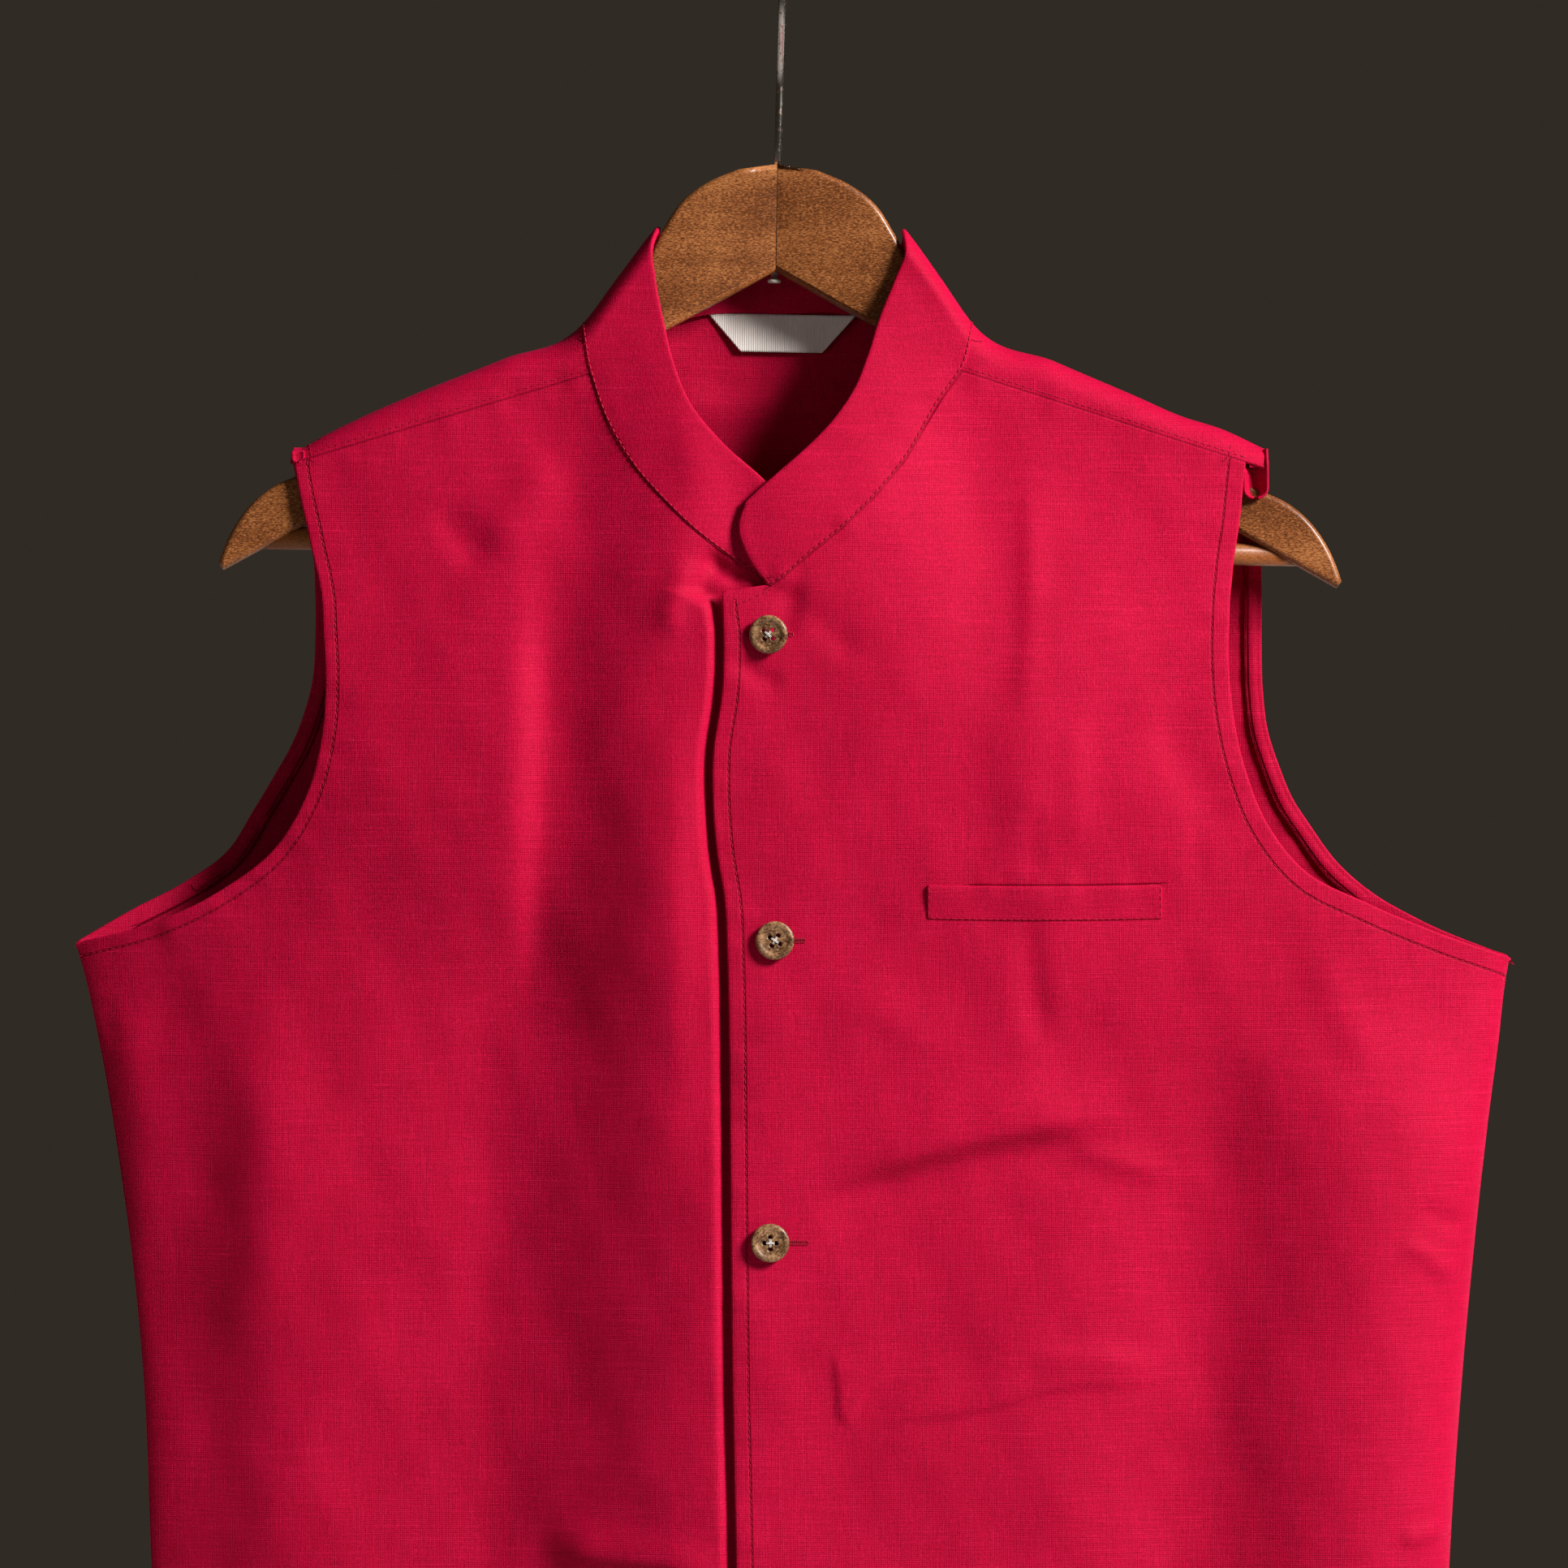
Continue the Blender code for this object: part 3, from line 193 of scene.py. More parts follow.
# Creases: face, points x, z along it, half width to the left of that way and to the right, height outwards
CREASES = (
    (-1, ((-0.1365, -0.2195), (-0.128, -0.232), (-0.116, -0.248)), 0.0085, 0.006, -0.0012),
    (-1, ((-0.0875, -0.2012), (-0.102, -0.22), (-0.116, -0.242)), 0.011, 0.009, 0.0012),
    (-1, ((-0.103, -0.235), (-0.102, -0.32), (-0.106, -0.42)), 0.0055, 0.008, 0.0011),
    (-1, ((-0.1165, -0.31), (-0.1155, -0.43), (-0.118, -0.56), (-0.115, -0.69)), 0.012, 0.011, -0.0008),
    (-1, ((-0.2587, -0.4085), (-0.257, -0.45), (-0.25, -0.52)), 0.01, 0.008, 0.002),
    (-1, ((-0.2016, -0.4085), (-0.203, -0.47), (-0.208, -0.56)), 0.016, 0.014, 0.0018),
    (-1, ((-0.2647, -0.413), (-0.264, -0.424), (-0.26, -0.433)), 0.003, 0.003, -0.001),
    (-1, ((-0.096, -0.624), (-0.0735, -0.6298), (-0.048, -0.632), (-0.023, -0.6345)), 0.011, 0.005, 0.0034),
    (-1, ((-0.095, -0.639), (-0.06, -0.641), (-0.024, -0.644)), 0.005, 0.008, -0.002),
    (-1, ((0.0948, -0.201), (0.096, -0.25), (0.093, -0.309)), 0.006, 0.005, 0.001),
    (-1, ((0.1126, -0.295), (0.113, -0.33), (0.112, -0.365)), 0.007, 0.007, 0.001),
    (-1, ((0.096, -0.335), (0.0965, -0.351), (0.0965, -0.3675)), 0.005, 0.006, -0.0007),
    (-1, ((0.0962, -0.375), (0.095, -0.39), (0.0965, -0.408), (0.101, -0.435)), 0.006, 0.006, -0.0013),
    (-1, ((0.16, -0.34), (0.1605, -0.356), (0.16, -0.372)), 0.0045, 0.0045, -0.0005),
    (-1, ((0.006, -0.487), (0.0583, -0.4705), (0.0995, -0.461), (0.1376, -0.456)), 0.016, 0.0065, 0.0036),
    (-1, ((0.006, -0.4945), (0.0583, -0.48), (0.0995, -0.4715), (0.1376, -0.472)), 0.006, 0.012, -0.0016),
    (-1, ((0.108, -0.469), (0.124, -0.4745), (0.144, -0.479), (0.155, -0.477)), 0.005, 0.005, 0.0012),
    (-1, ((0.0195, -0.548), (0.0215, -0.564), (0.024, -0.5765), (0.03, -0.5775)), 0.014, 0.0012, 0.0011),
    (-1, ((0.0285, -0.5772), (0.074, -0.572), (0.106, -0.5635), (0.1534, -0.562)), 0.015, 0.0016, 0.001),
    (-1, ((0.09, -0.553), (0.12, -0.552), (0.15, -0.557)), 0.004, 0.006, 0.0009),
    (-1, ((0.238, -0.506), (0.25, -0.513), (0.264, -0.523)), 0.004, 0.0045, 0.0016),
    (-1, ((0.245, -0.493), (0.256, -0.499), (0.268, -0.503)), 0.004, 0.004, -0.0012),
    (-1, ((0.238, -0.625), (0.25, -0.621), (0.26, -0.618)), 0.004, 0.0035, 0.0015),
    (-1, ((0.01, -0.408), (0.04, -0.42), (0.075, -0.44)), 0.012, 0.008, 0.001),
    (-1, ((-0.0209, -0.2424), (-0.029, -0.2485), (-0.0345, -0.259)), 0.004, 0.005, -0.0018),
    (-1, ((-0.033, -0.242), (-0.042, -0.256), (-0.045, -0.275)), 0.005, 0.006, 0.0016),
    (-1, ((-0.019, -0.279), (-0.01, -0.288), (0.001, -0.292)), 0.004, 0.005, -0.001),
    (-1, ((0.004, -0.26), (0.018, -0.27), (0.028, -0.285)), 0.007, 0.006, -0.001),
    (-1, ((-0.032, -0.239), (-0.023, -0.247), (-0.013, -0.252)), 0.0035, 0.004, -0.0018),
    (-1, ((0.0, -0.25), (0.003, -0.259), (-0.002, -0.276)), 0.005, 0.006, -0.0016),
    (-1, ((0.145, -0.295), (0.155, -0.325), (0.175, -0.355)), 0.01, 0.008, -0.0012),
    (-1, ((0.205, -0.39), (0.215, -0.415), (0.23, -0.445)), 0.01, 0.009, 0.0012),
    (-1, ((0.03, -0.66), (0.09, -0.652), (0.15, -0.66)), 0.012, 0.008, 0.0012),
    (-1, ((0.01, -0.775), (0.06, -0.764), (0.125, -0.77)), 0.014, 0.008, 0.0016),
    (-1, ((-0.03, -0.77), (-0.09, -0.76), (-0.15, -0.77)), 0.01, 0.012, 0.0015),
    (1, ((-0.14, -0.23), (-0.13, -0.28), (-0.115, -0.33)), 0.012, 0.009, -0.0016),
    (1, ((0.145, -0.23), (0.133, -0.285), (0.12, -0.335)), 0.01, 0.012, -0.0016),
    (1, ((-0.06, -0.175), (-0.02, -0.182), (0.02, -0.18), (0.06, -0.176)), 0.006, 0.009, -0.001),
    (1, ((-0.09, -0.255), (-0.03, -0.262), (0.04, -0.26), (0.095, -0.253)), 0.012, 0.008, 0.0012),
    (1, ((-0.235, -0.42), (-0.21, -0.45), (-0.19, -0.5)), 0.011, 0.009, 0.0016),
    (1, ((0.24, -0.425), (0.22, -0.455), (0.198, -0.51)), 0.009, 0.011, 0.0016),
    (1, ((-0.16, -0.47), (-0.07, -0.485), (0.02, -0.478)), 0.014, 0.009, 0.0016),
    (1, ((0.04, -0.545), (0.11, -0.56), (0.19, -0.552)), 0.013, 0.009, 0.0015),
    (1, ((-0.2, -0.63), (-0.12, -0.645), (-0.03, -0.64)), 0.012, 0.01, 0.0013),
    (1, ((0.06, -0.39), (0.07, -0.47), (0.062, -0.56)), 0.012, 0.009, -0.0014),
    (1, ((-0.05, -0.65), (-0.056, -0.74), (-0.052, -0.84)), 0.014, 0.011, 0.0018),
    (1, ((0.185, -0.62), (0.18, -0.72), (0.183, -0.83)), 0.013, 0.011, 0.0018),
)
CREASE_POINTS = 14
CREASE_FADE = 0.3
# Unevenness all over the cloth: size of its lumps and height
LUMPS = ((0.06, 0.00045), (0.023, 0.00014))
LUMP_SEED = 2.0
# Its waves: how many, turn and phase from wave to wave, least length and range of lengths, and steps
# through them
LUMP_WAVES = 7
WAVE_TURN = 2.39996
WAVE_PHASE = 1.3
WAVE_LEAST = 0.7
WAVE_RANGE = 0.8
WAVE_STEP = 0.618
SEED_TURN = 1.7
SEED_STEP = 0.37
# Puckers along sewn lines: pitch, reach from the line, height, seed and how much they slant
PUCKER_PITCH = 0.011
PUCKER_REACH = 0.0055
PUCKER_HEIGHT = 0.00022
PUCKER_SEED = 3.0
PUCKER_SLANT = 0.3
# Fine relief starts this far below the ridge, in radii of its roll, and this steeply in from the sides
CALM_RADII = 2.0
SIDE_CALM = 4.0

# Fine shells: steps, radii of rolled edges, steps round a roll and behind it, depth of what is tucked in
FRONT_STEP = 0.0017
BACK_STEP = 0.0022
COLLAR_STEP = 0.0013
EDGE_RADIUS = 0.0007
SEAM_RADIUS = 0.0006
SIDE_RADIUS = 0.0014
ROLL_STEPS = 5
TUCK_STEPS = 2
EDGE_TUCK = 0.006
HEM_TUCK = 0.022
SEAM_TUCK = 0.0008
WELD = 0.00001
# Width that the back's columns are counted for, and depth of its flaps over the shoulders
BACK_WIDTH = 0.55
FLAP_DEPTH = 0.02
# Ways that count as outwards where edges roll: front, back, flaps, collar, facings
FRONT_OUT = (0.0, -1.0, 0.35)
BACK_OUT = (0.0, 1.0, 0.6)
FLAP_OUT = (0.0, -1.0, 0.8)
COLLAR_UP = 0.3
FACING_OUT = (0.0, -1.0, 0.3)
# A distance from sewn lines that counts as far away
FAR = 1.0

# Sewn lines: distance in from each edge
PLACKET_STITCH_IN = 0.0062
LEFT_ARMHOLE_STITCH_IN = 0.005
RIGHT_ARMHOLE_STITCH_IN = 0.0068
SHOULDER_STITCH_IN = 0.0018
HEM_STITCH_UP = 0.02
STITCH_PITCH = 0.0027
STITCH_LENGTH = 0.002
STITCH_RADIUS = 0.0002
COLLAR_STITCH_LENGTH = 0.0022
COLLAR_STITCH_RADIUS = 0.00034
STITCH_SIDES = 5
STITCH_RISE = 0.00003
STITCH_LINE_POINTS = 400
TINY = 1e-9
PLACKET_CORNER_STITCH = ((-0.0187, -0.2608), (-0.012, -0.2578), (-0.004, -0.254))
PLACKET_STITCH_TOP = -0.2595
PLACKET_POINT_STEP = 0.004
SEWN_POINTS = 40
# Row of BACK_ROWS where the back's armhole starts
BACK_ARMHOLE_ROW = 4
# Points in the middle of the panels, which tell in from out: x, z
RIGHT_FRONT_MIDDLE = (-0.1, -0.35)
LEFT_FRONT_MIDDLE = (0.1, -0.35)
BACK_MIDDLE = (0.0, -0.35)
# Short stitches at the arm's end of a flap: in from the end, up from the seam, way to the top
FLAP_STITCH_IN = 0.0068
FLAP_STITCH_UP = 0.0002
FLAP_STITCH_WAY = (0.001, 0.0052)
# Hem stitches end this far in from the sides, the upper front's edge and the lower front's end
HEM_STITCH_SIDE = 0.004
HEM_STITCH_EDGE = 0.002
HEM_STITCH_UNDER = 0.003
# Share of the way from the collar's first strip line to its second where it is sewn, and upward part of
# its normal
COLLAR_SEWN_AT = 0.25
COLLAR_SEWN_UP = 0.2
# Rings of a short thread: place along it and share of its radius
THREAD_RINGS = ((-0.5, 0.0), (-0.42, 0.7), (-0.25, 1.0), (0.25, 1.0), (0.42, 0.7), (0.5, 0.0))

# Chest welt: size, middle, bow of its edges, height above the front, gape of its mouth, and the line above
# its mouth that gets a groove and painted shade, standing for the mouth's shadow
WELT_LENGTH = 0.09
WELT_HEIGHT = 0.0122
WELT_X = 0.101
WELT_Z = -0.3757
WELT_BOW = 0.0006
WELT_RISE = 0.0006
WELT_GAPE = 0.0009
WELT_ROWS = 12
WELT_PUFF = 0.25
WELT_TUCK = 0.0015
MOUTH_UP = 0.0009
MOUTH_SPAN = (-0.32, 0.49)
MOUTH_POINTS = 12

# Neck label: size, place, distance from the back at its low edge and share of it at the top, tilt, curled
# corner
LABEL_TOP_WIDTH = 0.058
LABEL_LOW_WIDTH = 0.032
LABEL_HEIGHT = 0.0148
LABEL_X = -0.001
LABEL_TOP_Z = -0.1471
LABEL_THICKNESS = 0.0004
LABEL_COLUMNS = 60
LABEL_ROWS = 18
LABEL_STAND = 0.0022
LABEL_RAISE = 0.0011
LABEL_LEAN = 0.02
LABEL_CURL = 0.003
LABEL_TOP_STAND = 0.4
CURL_FROM = 0.3
CURL_WIDTH = 0.2

# Facing strips inside the back's armholes: width, rows of BACK_ROWS, columns, distance from the back, sewn
# line
FACING_WIDTH = 0.006
FACING_ROWS = (5, 16)
FACING_COLUMNS = 7
FACING_RISE = 0.0012
FACING_PUFF = 0.0006
FACING_TUCK = 0.0006
FACING_STITCH_IN = 0.0052

# Buttons: x, z, turn of the holes in degrees, tilt about x and about z in degrees
BUTTONS = (
    (-0.006, -0.272, 4.0, 3.0, -9.0),
    (-0.0035, -0.3905, 12.0, 0.0, 0.0),
    (-0.0055, -0.5075, 45.0, 0.0, 0.0),
    (-0.006, -0.641, 20.0, 0.0, 0.0),
    (-0.0055, -0.7625, 0.0, 0.0, 0.0),
)
# Their radius and thickness, width of the rim, gap to the cloth, holes, and reach over which the cloth's
# slope counts
BUTTON_RADIUS = 0.0075
BUTTON_THICKNESS = 0.0026
BUTTON_RIM = 0.0016
BUTTON_LIFT = 0.0004
HOLE_RADIUS = 0.0009
HOLE_PITCH = 0.0032
SLOPE_REACH = 0.003
# Buttonholes: outer end's distance to the right of the button's middle for each, length, half width of the
# sewing
BUTTONHOLE_REACH = (0.0095, 0.0118, 0.015, 0.013, 0.0125)
BUTTONHOLE_LENGTH = 0.019
BUTTONHOLE_HALF_WIDTH = 0.0011
BUTTONHOLE_PITCH = 0.00055
BUTTONHOLE_STITCH_AT = 0.55
BUTTONHOLE_END_AT = 0.4
BUTTONHOLE_STITCH_RADIUS = 0.00024
BUTTONHOLE_RISE = 0.0001
# Each slit is a dark thread of painted shade, standing for the shadow in the cut: share of the length,
# radius
SLIT_SHARE = 0.94
SLIT_RADIUS = 0.00028
# Rolled ends of the back's facing: left x, right x, top z, low z, distance in front, height of the rims,
# lean, slant of the top edge
TONGUES = (
    (0.1797, 0.1876, -0.201, -0.218, 0.005, 0.006, 0.0003, 0.0018),
    (-0.1912, -0.1876, -0.1985, -0.204, 0.0075, 0.0006, 0.0, 0.0),
)
TONGUE_COLUMNS = 22
TONGUE_ROWS = 30
TONGUE_EDGE = 0.0006
TONGUE_TUCK = 0.0012
# Shares of the length where the end rounds off and over which it comes forward, and how its rims rise and
# sink
TONGUE_ROUND = 0.2
TONGUE_BLUNT = 0.985
TONGUE_AHEAD = 0.35
RIM_POWER = 2.5
RIM_SINK = 0.4

# Hanger: middle and tilt of its wood, thickness, rounding of its edges, and how much longer its right arm
# is
WOOD_X = -0.0025
WOOD_Z = -0.088
WOOD_TILT = math.radians(0.95)
WOOD_HALF_THICKNESS = 0.006
WOOD_ROUNDING = 0.0022
RIGHT_REACH = 1.033
# Upper edge of an arm in the hanger's own frame, from the middle out: distance out, distance down
ARM_TOP = (
    (0.015, 0.0022), (0.027, 0.0074), (0.037, 0.015), (0.0444, 0.0262), (0.0535, 0.0438),
    (0.064, 0.0585), (0.076, 0.069), (0.095, 0.0782), (0.14, 0.0998), (0.1858, 0.1248),
    (0.195, 0.1292), (0.2026, 0.1354), (0.208, 0.1423), (0.2127, 0.1512), (0.2156, 0.1591),
)
# The arm's tip, its height at the joint, and points on its upper edge; then the bar and the hook
ARM_TIP = (0.2138, 0.1618)
ARM_MIDDLE_HEIGHT = 0.0418
ARM_OUTLINE_POINTS = 110
JOINT_HALF_GAP = 0.00015
BAR_RADIUS = 0.0045
BAR_DOWN = 0.149
BAR_REACH = 0.203
WIRE_RADIUS = 0.0015
HOOK_INSIDE_RADIUS = 0.02
HOOK_TIP_ANGLE = math.radians(-35.0)
HOOK_START_ANGLE = math.radians(222.0)
HOOK_NECK_Z = -0.06
SHANK_END_Z = -0.133
SHANK_NUT_RADIUS = 0.0026
SHANK_NUT_HEIGHT = 0.0016
# Half section of the nut, as shares of its radius and height, and how far it stands below the shank's end
NUT_PROFILE = ((0.0, 0.5), (0.7, 0.5), (1.0, 0.25), (1.0, -0.3), (0.8, -0.5), (0.0, -0.5))
NUT_DOWN = 0.3
# Sides of the round parts and steps along the hook; its shank's straight part starts below the bend
NUT_SIDES = 24
BAR_SIDES = 28
BAR_POINTS = 9
WIRE_SIDES = 20
SHANK_STRAIGHT = 0.004
ROUNDING_STEPS = 4
HOOK_STEPS = 64
NECK_HANDLE = 0.01
NECK_STEPS = 14
HOLE_SIDES = 20
BUTTON_STEPS = 64
THREAD_RADIUS = 0.0002
# Half section of a button, middle to rim to middle: radius and height in millimetres
BUTTON_PROFILE = (
    (0.0, 0.78), (3.6, 0.8), (4.7, 0.86), (5.25, 1.02), (5.6, 1.22), (5.95, 1.3), (6.5, 1.29), (6.95, 1.16),
    (7.3, 0.86), (7.48, 0.45), (7.5, 0.0), (7.42, -0.45), (7.1, -0.85), (6.5, -1.12), (5.6, -1.27),
    (3.0, -1.3), (0.0, -1.3),
)

# The thread of a button: distance below its face, gap between strands in radii, gap between crossed pairs,
# length in pitches of the holes; and the depth of the holes' cutters in thicknesses
THREAD_SINK = 0.0004
THREAD_SPACING = 1.1
THREAD_CROSSING = 0.0001
THREAD_SHARE = 1.12
CUTTER_SHARE = 4.0

# Colours as linear red, green, blue
CLOTH_STOPS = (
    (0.0, (0.27, 0.0012, 0.015)), (0.5, (0.5, 0.0025, 0.039)), (1.0, (0.72, 0.01, 0.078)),
)
WOOD_STOPS = (
    (0.38, (0.095, 0.027, 0.007)), (0.5, (0.235, 0.072, 0.018)), (0.62, (0.43, 0.165, 0.052)),
)
BAR_STOPS = (
    (0.3, (0.14, 0.036, 0.007)), (0.5, (0.27, 0.08, 0.018)), (0.72, (0.4, 0.14, 0.036)),
)
BUTTON_STOPS = (
    (0.34, (0.06, 0.022, 0.008)), (0.5, (0.19, 0.088, 0.036)), (0.66, (0.42, 0.23, 0.11)),
)
THREAD_COLOUR = (0.46, 0.003, 0.034)
# Painted shade: near-black colour of the buttonhole slits, standing for the shadow in the cut
SLIT_PAINTED_SHADE = (0.09, 0.002, 0.008)
BUTTON_THREAD_COLOUR = (0.8, 0.74, 0.7)
NUT_COLOUR = (0.72, 0.66, 0.6)
HOOK_STOPS = ((0.0, (0.62, 0.58, 0.53)), (1.0, (0.2, 0.075, 0.035)))
LABEL_STOPS = ((0.25, (0.84, 0.77, 0.71)), (0.75, (0.93, 0.89, 0.85)))
FLOOR_COLOUR = (0.62, 0.61, 0.6, 1.0)
# Noises of the cloth, as grains per metre along x, y and z: threads across and along, grain, patches,
# thick threads
CLOTH_ACROSS = (60.0, 60.0, 2100.0)
CLOTH_ALONG = (2300.0, 2300.0, 90.0)
CLOTH_GRAIN = (1500.0, 1500.0, 1500.0)
CLOTH_PATCHES = (14.0, 14.0, 14.0)
SLUB_ACROSS = (28.0, 28.0, 1300.0)
SLUB_ALONG = (1500.0, 1500.0, 30.0)
# Range of a noise that is used, and what the thick threads add: noise from, noise to, shade from, shade to
NOISE_LOW = 0.3
NOISE_HIGH = 0.7
SLUB_ACROSS_SHADE = (0.6, 0.74, 0.0, 0.15)
SLUB_ALONG_SHADE = (0.62, 0.76, 0.0, 0.13)
# Layers of its shade: how far each noise lightens or darkens it, the middle, and the weave's dark and
# light
SHADE_THREADS = 0.08
SHADE_GRAIN = 0.17
SHADE_PATCHES = 0.05
SHADE_MIDDLE = 0.47
SHADE_WEAVE = (-0.08, 0.2)
# The groove along sewn lines: reach, depth, painted shade that darkens the colour in it, and distances
# between which it is left out
GROOVE_REACH = 0.0008
GROOVE_DEPTH = 0.0003
GROOVE_PAINTED_SHADE = 0.56
GROOVE_OFF = (0.0025, 0.0035)
WEAVE_SCALE = 400.0
WARP_SHARE = 1.1
WEAVE_BEND = 1.2
# Heights of the cloth's relief
WEAVE_HEIGHT = 0.35
ALONG_HEIGHT = 0.6
GRAIN_HEIGHT = 0.5
CLOTH_BUMP = 0.00035
FINE_BUMP = 0.0002
# Noises of the other finishes
TWIST = (2600.0, 2600.0, 2600.0)
WOOD_FLECKS = (850.0, 2200.0, 2800.0)
WOOD_BANDS = (9.0, 60.0, 70.0)
WOOD_CLOUD = (28.0, 28.0, 28.0)
WOOD_GRAIN_TURN = 26.0
WOOD_FLECK_SHARE = 0.75
WOOD_BAND_SHARE = 0.27
WOOD_CLOUD_SHADE = 0.06
BUTTON_SPECKS = (1500.0, 900.0, 1500.0)
BUTTON_CLOUD = (170.0, 170.0, 170.0)
BUTTON_CLOUD_SHADE = 0.12
RUST_SPECKS = (900.0, 900.0, 420.0)
RUST_RANGE = (0.56, 0.66)
LABEL_THREADS = (1800.0, 1800.0, 160.0)
LABEL_RIB_SCALE = 360.0

# Studio: world, floor, and lights as name, place, aim, size, spread in degrees, power and colour
WORLD_COLOUR = (1.0, 0.8, 0.62, 1.0)
WORLD_STRENGTH = 0.03
FLOOR_Z = -1.05
FLOOR_REACH = 5.0
LIGHTS = (
    ("key", (2.35, -1.47, 1.2), (-0.03, 0.0, -0.38), 0.9, 60.0, 23.0, (1.0, 0.97, 0.94)),
    ("fill", (-1.5, -2.1, 0.1), (0.0, 0.0, -0.4), 1.4, 180.0, 4.0, (0.97, 0.98, 1.0)),
    ("behind", (1.7, 2.2, -0.35), (0.0, 0.0, -0.5), 1.2, 180.0, 66.0, (1.0, 0.98, 0.96)),
)
MATT_LIGHTS = ("fill", "behind")

# Camera: the photograph's frame and a long lens
FRAME_WIDTH = 0.6124
FRAME_MIDDLE_Z = -0.3299
CAMERA_DISTANCE = 4.0
SENSOR = 36.0
CLIP_END = 50.0


def along(table, at):
    """Reads a smooth curve through a table's two columns, straight past its ends."""
    keys = np.array([row[0] for row in table])
    values = np.array([row[1] for row in table])
    slopes = np.gradient(values, keys)
    at = np.asarray(at, dtype=float)
    i = np.clip(np.searchsorted(keys, at) - 1, 0, len(keys) - 2)
    span = keys[i + 1] - keys[i]
    t = (at - keys[i]) / span
    u = np.clip(t, 0.0, 1.0)
    inside = (
        values[i] * (2 * u**3 - 3 * u**2 + 1) + values[i + 1] * (3 * u**2 - 2 * u**3)
        + span * (slopes[i] * (u**3 - 2 * u**2 + u) + slopes[i + 1] * (u**3 - u**2))
    )
    return inside + (t - u) * span * np.where(t < 0.0, slopes[0], slopes[-1])


def smooth_step(t):
    """Rises from 0 to 1 with level ends."""
    t = np.clip(t, 0.0, 1.0)
    return t * t * (3.0 - 2.0 * t)


def unit(ways):
    """Gives each way a length of 1."""
    return ways / np.linalg.norm(ways, axis=-1)[..., None]


def run_lengths(points):
    """Gives the length along a line of points up to each of them."""
    steps = np.linalg.norm(np.diff(points, axis=0), axis=1)
    return np.concatenate([[0.0], np.cumsum(steps)])


def curve_at(table, shares):
    """Reads a smooth curve through a table of points at shares of its length."""
    points = np.array(table, dtype=float)
    lengths = run_lengths(points)
    at = np.asarray(shares) * lengths[-1]
    return np.stack([along(list(zip(lengths, column)), at) for column in points.T], axis=-1)


def even_curve(table, step):
    """Reads a smooth curve through a table of points at even steps."""
    count = max(2, math.ceil(run_lengths(np.array(table, dtype=float))[-1] / step))
    return curve_at(table, np.linspace(0.0, 1.0, count + 1))


def side_share(x, z):
    """Is 1 over the middle of the jacket and falls to 0 at its side seams."""
    left = along(LEFT_SIDE, z)
    right = along(RIGHT_SIDE, z)
    s = np.clip(SIDE_CLOSE * (2.0 * x - left - right) / (right - left), -1.0, 1.0)
    return (1.0 - s * s) ** np.where(s < 0.0, LEFT_SIDE_POWER, RIGHT_SIDE_POWER)


def fold_height(face, x, z):
    """Adds up the large folds of one face of the jacket."""
    total = np.zeros_like(x)
    for side, top_x, hem_x, top_z, low_z, left, right, height in FOLDS:
        if side != face:
            continue
        middle = top_x + (hem_x - top_x) * (z - top_z) / (HEM_Z - top_z)
        fade = smooth_step((top_z - z) / FOLD_FADE) * smooth_step((z - low_z) / FOLD_FADE)
        width = np.where(x < middle, left, right)
        total = total + height * fade * np.exp(-(((x - middle) / width) ** 2))
    return total


def line_reach(path, x, z):
    """Gives points' distances from a bent line, their sides (+1 left, -1 right) and runs, and its length."""
    reach = np.full(x.shape, np.inf)
    side = np.ones(x.shape)
    run = np.zeros(x.shape)
    start = 0.0
    for (ax, az), (bx, bz) in zip(path[:-1], path[1:]):
        dx, dz = bx - ax, bz - az
        length = math.hypot(dx, dz)
        t = np.clip(((x - ax) * dx + (z - az) * dz) / length**2, 0.0, 1.0)
        off_x = x - ax - t * dx
        off_z = z - az - t * dz
        distance = np.hypot(off_x, off_z)
        closer = distance < reach
        reach = np.where(closer, distance, reach)
        side = np.where(closer, np.where(dx * off_z - dz * off_x > 0.0, 1.0, -1.0), side)
        run = np.where(closer, start + t * length, run)
        start += length
    return reach, side, run, start


def crease_height(face, x, z):
    """Adds up the creases of one face of the jacket."""
    total = np.zeros_like(x)
    for side_of_jacket, path, left, right, height in CREASES:
        if side_of_jacket != face:
            continue
        line = curve_at(path, np.linspace(0.0, 1.0, CREASE_POINTS))
        reach, side, run, length = line_reach(line, x, z)
        share = run / length
        fade = smooth_step(share / CREASE_FADE) * smooth_step((1.0 - share) / CREASE_FADE)
        width = np.where(side > 0.0, left, right)
        total = total + height * fade * np.exp(-((reach / width) ** 2))
    return total


def lumps(x, z, size, seed):
    """Gives a smooth uneven height of about 1 with lumps of a given size, the same in each run."""
    total = np.zeros_like(x)
    for wave in range(LUMP_WAVES):
        angle = seed * SEED_TURN + wave * WAVE_TURN
        pitch = size * (WAVE_LEAST + WAVE_RANGE * ((wave * WAVE_STEP + seed * SEED_STEP) % 1.0))
        run = x * math.cos(angle) + z * math.sin(angle)
        total = total + np.sin(2.0 * math.pi * run / pitch + seed + wave * WAVE_PHASE)
    return total / math.sqrt(LUMP_WAVES)


